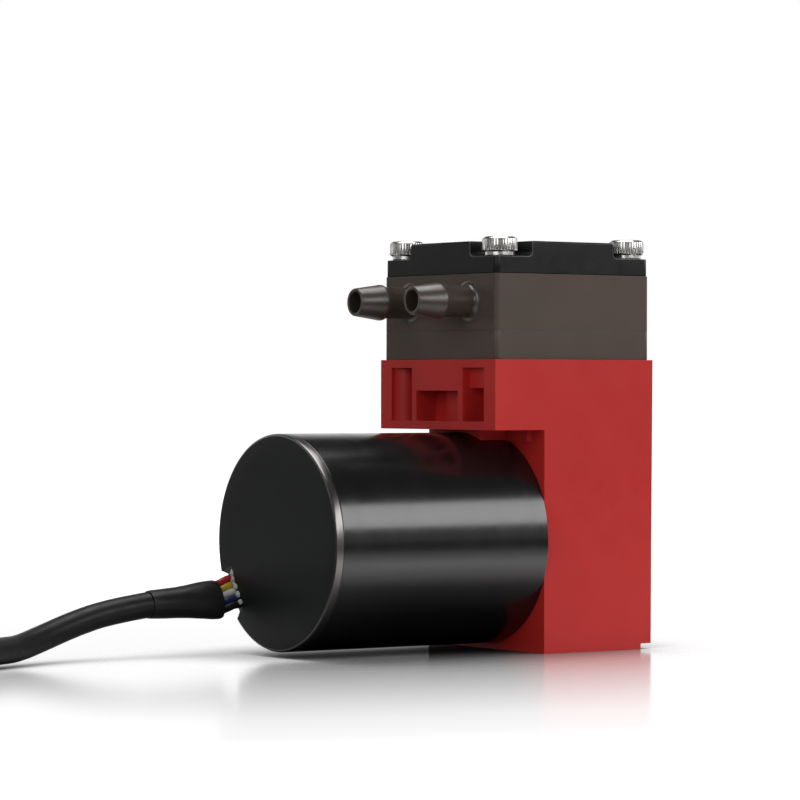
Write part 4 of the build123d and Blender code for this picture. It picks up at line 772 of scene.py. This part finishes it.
class PUMP_OT_boot(bpy.types.Operator):
    """Shrink the sleeve's boot over the wires"""

    bl_idname = "pump.boot"
    bl_label = "Boot"

    def execute(self, context):
        mouth_x, end_x = BOOT_HIGH.x, BOOT_LOW.x
        slope = 0.45 * MM  # Fall from the mouth to the end
        middle_y, mouth_z = CABLE_ROUTE[0].y, CABLE_ROUTE[0].z + slope
        tilt = Matrix.Rotation(radians(57), 2)
        # Share of the way from the mouth to the end, and the oval's two halves in millimetres,
        # from the inside of the mouth, over its lip and down to the cable
        sections = [
            (0.12, 2.88, 1.7), (0, 3.05, 1.83), (0, 3.22, 2.05), (0.03, 3.28, 2.1),
            (0.12, 3.22, 2.14), (0.22, 3.04, 2.18), (0.34, 2.84, 2.2), (0.46, 2.64, 2.22),
            (0.6, 2.46, 2.22), (0.8, 2.3, 2.2), (0.96, 2.2, 2.17), (1, 2.1, 2.1), (1, 1.9, 1.9),
        ]
        shape = bmesh.new()
        ring = bmesh.ops.create_circle(shape, segments=48, radius=1)["verts"]
        unit = [vert.co.copy() for vert in ring]
        mouth = shape.edges[:]
        edges = mouth
        for step, (share, long_half, short_half) in enumerate(sections):
            if step:
                made = bmesh.ops.extrude_edge_only(shape, edges=edges)["geom"]
                ring = [part for part in made if isinstance(part, bmesh.types.BMVert)]
                edges = [
                    part for part in made
                    if isinstance(part, bmesh.types.BMEdge) and all(v in ring for v in part.verts)
                ]
            centre = Vector((
                mouth_x + (end_x - mouth_x) * share, middle_y, mouth_z - slope * share,
            ))
            for vert, place in zip(ring, unit):
                swell = 1 + 0.03 * noise.noise(Vector((place.x * 1.6, place.y * 1.6, share * 9)))
                oval = tilt @ Vector((place.x * long_half, place.y * short_half))
                vert.co = centre + Vector((0, *oval)) * MM * swell
        bmesh.ops.bridge_loops(shape, edges=mouth + edges)
        bmesh.ops.recalc_face_normals(shape, faces=shape.faces)
        add_piece(shape, "shrunk_boot", "sleeve", "sleeve_boot", crease=70)
        return {"FINISHED"}


class PUMP_OT_cable(bpy.types.Operator):
    """Lay the sleeved cable, its coil and the tie"""

    bl_idname = "pump.cable"
    bl_label = "Cable"

    def execute(self, context):
        lead = context.scene.pump_lead
        points = CABLE_ROUTE + self.coil(lead.coil_radius) + TAIL_ROUTE
        cable = smooth_wire(
            "sleeved_cable", points, lead.cable_diameter, "sleeve",
            ("cable_sleeve", "cable_coil", "cable_tail"),
        )
        self.tie()
        self.wires()
        self.connector()
        return {"FINISHED"}

    @staticmethod
    def coil(mean):
        """Control points of the coil's turns, which close in by 4 mm a turn, then open again."""
        points = []
        for step in range(1, int(COIL_TURNS * POINTS_PER_TURN) + 1):
            turn = step / POINTS_PER_TURN
            if turn <= CLIMB_START:
                radius, rise = mean + (2.05 - 4 * turn) * MM, 0
            else:
                radius = mean + (3.75 * max(0, turn - CLIMB_END) - 2.6) * MM
                rise = min(1, (turn - CLIMB_START) / (CLIMB_END - CLIMB_START))
            angle = COIL_START - 2 * pi * turn
            reach = radius / HULL_SHARE
            height = LOWER_LAY + (UPPER_LAY - LOWER_LAY) * rise
            points.append(COIL_MIDDLE + Vector((cos(angle) * reach, sin(angle) * reach, height)))
        return points

    @staticmethod
    def tie():
        """The strap round the two lays of cable, with its head on the inner side."""
        low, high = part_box("coil_tie")
        middle = Vector((-93.95 * MM, (low.y + high.y) / 2, (LOWER_LAY + UPPER_LAY) / 2))
        half, rise = 2.12 * MM, 2 * MM  # Inner radius of the bends, and half the straight between
        thick, wide = 0.45 * MM, 2.5 * MM
        sides = 40
        strap = bmesh.new()
        loops = []
        for reach in (half, half + thick):
            loop = []
            for step in range(sides):
                angle = 2 * pi * step / sides
                lift = rise if sin(angle) >= 0 else -rise
                place = Vector((cos(angle) * reach, -wide / 2, lift + sin(angle) * reach))
                loop.append(strap.verts.new(middle + place))
            loops += [strap.edges.new(pair) for pair in zip(loop, loop[1:] + loop[:1])]
        band = bmesh.ops.bridge_loops(strap, edges=loops)["faces"]
        grown = bmesh.ops.extrude_face_region(strap, geom=band)["geom"]
        moved = [part for part in grown if isinstance(part, bmesh.types.BMVert)]
        bmesh.ops.translate(strap, verts=moved, vec=(0, wide, 0))
        # The head, and the strap's cut end standing out of it
        head_x = -half - thick - 0.7 * MM
        for size, lift in (((2.0, 3.6, 3.2), 0), ((0.5, 2.3, 2.4), 2.4 * MM)):
            place = Matrix.Translation(middle + Vector((head_x, 0, lift)))
            block = place @ Matrix.Diagonal((*(Vector(size) * MM), 1))
            bmesh.ops.create_cube(strap, size=1, matrix=block)
        bmesh.ops.recalc_face_normals(strap, faces=strap.faces)
        round_edges(strap, 0.12 * MM, angle=60)
        return add_piece(strap, "cable_tie", "tie_nylon", "coil_tie", crease=40)

    @staticmethod
    def connector_frame():
        """Where the connector's back sits, which way it points and its other axis."""
        heading = Vector((TAIL_ROUTE[-1] - TAIL_ROUTE[-2]).xy).normalized().to_3d()
        back = Vector((*(TAIL_ROUTE[-1] + heading * 5 * MM).xy, 2.4 * MM))
        return back, heading, heading.cross(Vector((0, 0, 1)))

    def wires(self):
        """The five wires between the sleeve's end and the connector's back."""
        back, heading, sideways = self.connector_frame()
        line = round_line("connector_wires", 1.12 * MM, 4)
        pitch = 2 * MM
        for index, name in enumerate(LEAD_NAMES):
            side = index - len(LEAD_NAMES) // 2
            # In the sleeve the wires lie in two rows, and in the housing side by side
            row = 0.45 * MM if side % 2 else -0.45 * MM
            start = TAIL_ROUTE[-1] + sideways * side * 0.6 * MM + Vector((0, 0, row))
            goal = back + sideways * side * pitch
            spline = add_spline(line, [
                start - heading * 0.6 * MM, start + heading * 1.4 * MM,
                goal - heading * 2.0 * MM, goal + heading * 1.2 * MM,
            ])
            line.materials.append(FINISHES[f"{name}_wire"].material)
            spline.material_index = index
        shape = bpy.data.objects.new("connector_wires", line)
        return add_piece(shape, "connector_wires", "red_wire", "connector_leads")

    def connector(self):
        """The crimp housing: five ways, their lances' windows and the wires' funnels."""
        back, heading, sideways = self.connector_frame()
        turn = Matrix((sideways, (0, 0, 1), heading)).transposed().to_4x4()
        turn.translation = back
        body = bmesh.new()
        # Cells across the back end, one to a way between the side walls, and up it
        across = [-5.95, -5, -3, -1, 1, 3, 5, 5.95]
        up = [-2.4, -1.4, 1.4, 2.4]
        rows = [[body.verts.new((x * MM, y * MM, 0)) for x in across] for y in up]
        cells = [
            body.faces.new((rows[j][i], rows[j + 1][i], rows[j + 1][i + 1], rows[j][i + 1]))
            for j in range(len(up) - 1) for i in range(len(across) - 1)
        ]
        grown = bmesh.ops.extrude_face_region(body, geom=cells)["geom"]
        moved = [part for part in grown if isinstance(part, bmesh.types.BMVert)]
        bmesh.ops.translate(body, verts=moved, vec=(0, 0, 8 * MM))
        windows = (2.8, 4.8)  # Their two ends, in millimetres from the back end
        for cut in windows:
            whole = body.verts[:] + body.edges[:] + body.faces[:]
            bmesh.ops.bisect_plane(body, geom=whole, plane_co=(0, 0, cut * MM), plane_no=(0, 0, 1))
        bmesh.ops.recalc_face_normals(body, faces=body.faces)

        def ways(facing, level, low, high):
            """The five ways' cells that face one way, between two levels along one axis."""
            found = []
            for part in body.faces:
                middle = part.calc_center_median() / MM
                inner = abs(middle.x) < 5 and low < middle[level] < high
                if inner and part.normal.dot(facing) > 0.9:
                    found.append(part)
            return found

        # The mating end's sockets, the back end's funnels and the windows
        for facing, level, low, high, wall, depth in (
            ((0, 0, 1), 1, -1, 1, 0.3, 4.0), ((0, 0, -1), 1, -1, 1, 0.3, 1.2),
            ((0, 1, 0), 2, *windows, 0.4, 0.7),
        ):
            chosen = ways(Vector(facing), level, low, high)
            bmesh.ops.inset_individual(body, faces=chosen, thickness=wall * MM)
            sunk = bmesh.ops.extrude_discrete_faces(body, faces=chosen)["faces"]
            moved = {vert for part in sunk for vert in part.verts}
            bmesh.ops.translate(body, verts=list(moved), vec=-Vector(facing) * depth * MM)
        round_edges(body, 0.1 * MM, angle=60)
        bmesh.ops.transform(body, matrix=turn, verts=body.verts)
        bmesh.ops.recalc_face_normals(body, faces=body.faces)
        return add_piece(body, "crimp_housing", "connector_nylon", "connector_housing", crease=40)


class PUMP_OT_studio(bpy.types.Operator):
    """Set the floor, the backdrop, the lights and the camera"""

    bl_idname = "pump.studio"
    bl_label = "Studio"

    def execute(self, context):
        studio = context.scene.pump_studio
        self.add_floor(studio)
        self.add_world(context.scene, studio)
        self.add_light("key", (0.572, -0.724, 0.39), 0.75, (1.6, 0.27), studio.key)
        self.add_light("top", (0.05, 0.1, 1.0), 0.65, (0.5, 0.5), studio.top)
        self.add_light("side", (-0.86, -0.42, 0.38), 0.8, (0.5, 0.5), studio.side)
        self.add_camera(context.scene)
        context.scene.view_settings.view_transform = "Standard"
        return {"FINISHED"}

    @staticmethod
    def add_camera(scene):
        camera = bpy.data.objects.new("camera", bpy.data.cameras.new("camera"))
        scene.collection.objects.link(camera)
        camera.data.lens = CAMERA_LENS
        camera.data.sensor_width = CAMERA_SENSOR
        camera.data.clip_start = 0.01
        camera.location = CAMERA_PLACE
        heading = Matrix.Rotation(radians(CAMERA_HEADING), 4, "Z")
        tilt = Matrix.Rotation(radians(CAMERA_TILT), 4, "X")
        roll = Matrix.Rotation(radians(CAMERA_ROLL), 4, "Z")
        camera.rotation_euler = (heading @ tilt @ roll).to_euler()
        scene.camera = camera

    @staticmethod
    def add_floor(studio):
        """A white floor whose gloss shows at low angles and fades away from the pump."""
        floor = bmesh.new()
        bmesh.ops.create_grid(floor, x_segments=1, y_segments=1, size=6)
        mesh = bpy.data.meshes.new("floor")
        floor.to_mesh(mesh)
        floor.free()
        plane = bpy.data.objects.new("floor", mesh)
        bpy.context.scene.collection.objects.link(plane)
        material = bpy.data.materials.new("floor")
        mesh.materials.append(material)
        material.use_nodes = True
        tree = material.node_tree
        tree.nodes.clear()

        # Distance from the pump, narrower along X, as a share of 0.4 m
        place = node(tree, "TexCoord").outputs["Object"]
        near = node(
            tree, "Mapping", {"Vector": place, "Location": (0.012, 0, 0), "Scale": (0.62, 1, 1)}
        ).outputs["Vector"]
        reach = node(tree, "VectorMath", {0: near}, operation="LENGTH").outputs["Value"]
        away = node(tree, "Math", {0: reach, 1: 1 / 0.4}, operation="MULTIPLY").outputs["Value"]
        seen = node(tree, "LightPath").outputs["Is Camera Ray"]

        # Painted shadow: for all but camera rays the floor's colour is dark under the pump, pale
        # round it and dim further out, so the pump mirrors a shaded floor
        mirrored = ramp(
            tree, away,
            (0.03, 0.04), (0.07, 0.3), (0.12, 0.75), (0.2, 0.8), (0.3, 0.25), (0.4, 0.06),
        )
        pale = node(
            tree, "Mix", {0: seen, 6: mirrored, 7: (*studio.floor, 1)}, data_type="RGBA"
        ).outputs[2]

        # Painted contact shadow: ambient occlusion darkens the floor's colour, glow and gloss where
        # the pump touches the floor or comes near it
        open_sky = node(tree, "AmbientOcclusion", {"Distance": 0.022}, samples=12).outputs["AO"]
        shade = ramp(tree, open_sky, (0.1, 0.02), (0.85, 1.0))
        dimmed = node(
            tree, "Mix", {0: 1.0, 6: pale, 7: shade}, data_type="RGBA", blend_type="MULTIPLY"
        ).outputs[2]
        cloth = node(tree, "BsdfDiffuse", {"Color": dimmed})

        # The floor turns white by itself with distance, so that no horizon shows
        white = ramp(tree, away, (0.3, 0.3), (0.8, 1.0))
        glow = node(tree, "Math", {0: white, 1: seen}, operation="MULTIPLY").outputs["Value"]
        bright = node(tree, "Math", {0: glow, 1: shade}, operation="MULTIPLY").outputs["Value"]
        lit = node(tree, "Emission", {"Strength": bright})
        base = node(tree, "AddShader", {0: cloth.outputs[0], 1: lit.outputs[0]})

        sheen = node(tree, "BsdfGlossy", {"Color": shade, "Roughness": 0.14})
        grazing = node(tree, "LayerWeight", {"Blend": 0.5}).outputs["Facing"]
        cubed = node(tree, "Math", {0: grazing, 1: 3.0}, operation="POWER").outputs["Value"]
        fade = ramp(
            tree, away,
            (0.0, 1.0), (0.07, 0.95), (0.16, 0.62), (0.25, 0.28), (0.36, 0.08), (0.5, 0.0),
        )
        share = node(
            tree, "Math", {0: cubed, 1: fade}, operation="MULTIPLY", use_clamp=True
        ).outputs["Value"]
        mixed = node(tree, "MixShader", {0: share, 1: base.outputs[0], 2: sheen.outputs[0]})
        node(tree, "OutputMaterial", {"Surface": mixed.outputs[0]})

    @staticmethod
    def add_world(scene, studio):
        """White for the camera, a dim room for the pump, and a low white sheet in its gloss."""
        world = bpy.data.worlds.new("room")
        scene.world = world
        world.use_nodes = True
        tree = world.node_tree
        rays = node(tree, "LightPath").outputs
        sky = node(tree, "TexCoord").outputs["Generated"]
        up = node(tree, "SeparateXYZ", {"Vector": sky}).outputs["Z"]
        level = ramp(tree, up, (0.0, studio.sky), (0.3, studio.sky), (0.55, studio.sky * 0.15))

        # The sheet hangs behind the pump, and only gloss and clear pieces show it
        facing = node(tree, "VectorMath", {0: sky, 1: (0.57, 0.82, 0)}, operation="DOT_PRODUCT")
        behind = ramp(tree, facing.outputs["Value"], (0.25, 0.0), (0.6, 1.0))
        low = ramp(tree, up, (0.25, 1.0), (0.5, 0.0))
        sheet = node(tree, "Math", {0: behind, 1: low}, operation="MULTIPLY").outputs["Value"]
        mirrored = node(
            tree, "Math", {0: rays["Is Glossy Ray"], 1: rays["Is Transmission Ray"]},
            operation="ADD",
        ).outputs["Value"]
        backdrop = node(
            tree, "Math", {0: mirrored, 1: sheet, 2: rays["Is Camera Ray"]},
            operation="MULTIPLY_ADD", use_clamp=True,
        ).outputs["Value"]
        white = node(tree, "Mix", {0: backdrop, 6: level, 7: (1, 1, 1, 1)}, data_type="RGBA")
        tree.links.new(white.outputs[2], tree.nodes["Background"].inputs["Color"])

    @staticmethod
    def add_light(name, direction, distance, size, radiance):
        """A flat lamp that faces the pump, as bright at any size."""
        data = bpy.data.lights.new(name, "AREA")
        data.shape = "RECTANGLE"
        data.size, data.size_y = size
        data.energy = radiance * pi * size[0] * size[1]
        lamp = bpy.data.objects.new(name, data)
        bpy.context.scene.collection.objects.link(lamp)
        aim = Vector(direction).normalized()
        lamp.location = PUMP_MIDDLE + aim * distance
        lamp.rotation_euler = aim.to_track_quat("Z", "Y").to_euler()


class PUMP_PT_panel(bpy.types.Panel):
    """Lists the pump's pieces and settings"""

    bl_label = "Diaphragm Vacuum Pump"
    bl_idname = "PUMP_PT_panel"
    bl_space_type = "VIEW_3D"
    bl_region_type = "UI"
    bl_category = "Pump"

    def draw(self, context):
        for group, settings in GROUPS.items():
            box = self.layout.box()
            for name in settings.__annotations__:
                box.prop(getattr(context.scene, group), name)
        for operator in OPERATORS:
            self.layout.operator(operator.bl_idname)


GROUPS = {
    "pump_motor": MotorSettings,
    "pump_body": BodySettings,
    "pump_head": HeadSettings,
    "pump_lead": LeadSettings,
    "pump_studio": StudioSettings,
}
OPERATORS = (
    PUMP_OT_finishes, PUMP_OT_motor, PUMP_OT_housing, PUMP_OT_head, PUMP_OT_nozzles,
    PUMP_OT_head_screws, PUMP_OT_leads, PUMP_OT_boot, PUMP_OT_cable, PUMP_OT_studio,
)


def register():
    for made in (*GROUPS.values(), *OPERATORS, PUMP_PT_panel):
        bpy.utils.register_class(made)
    for group, settings in GROUPS.items():
        setattr(bpy.types.Scene, group, PointerProperty(type=settings))


def unregister():
    for group in GROUPS:
        delattr(bpy.types.Scene, group)
    for made in reversed((*GROUPS.values(), *OPERATORS, PUMP_PT_panel)):
        bpy.utils.unregister_class(made)


def main():
    """Builds the whole pump in order."""
    register()
    for operator in OPERATORS:
        group, action = operator.bl_idname.split(".")
        getattr(getattr(bpy.ops, group), action)()


if __name__ == "__main__":
    main()
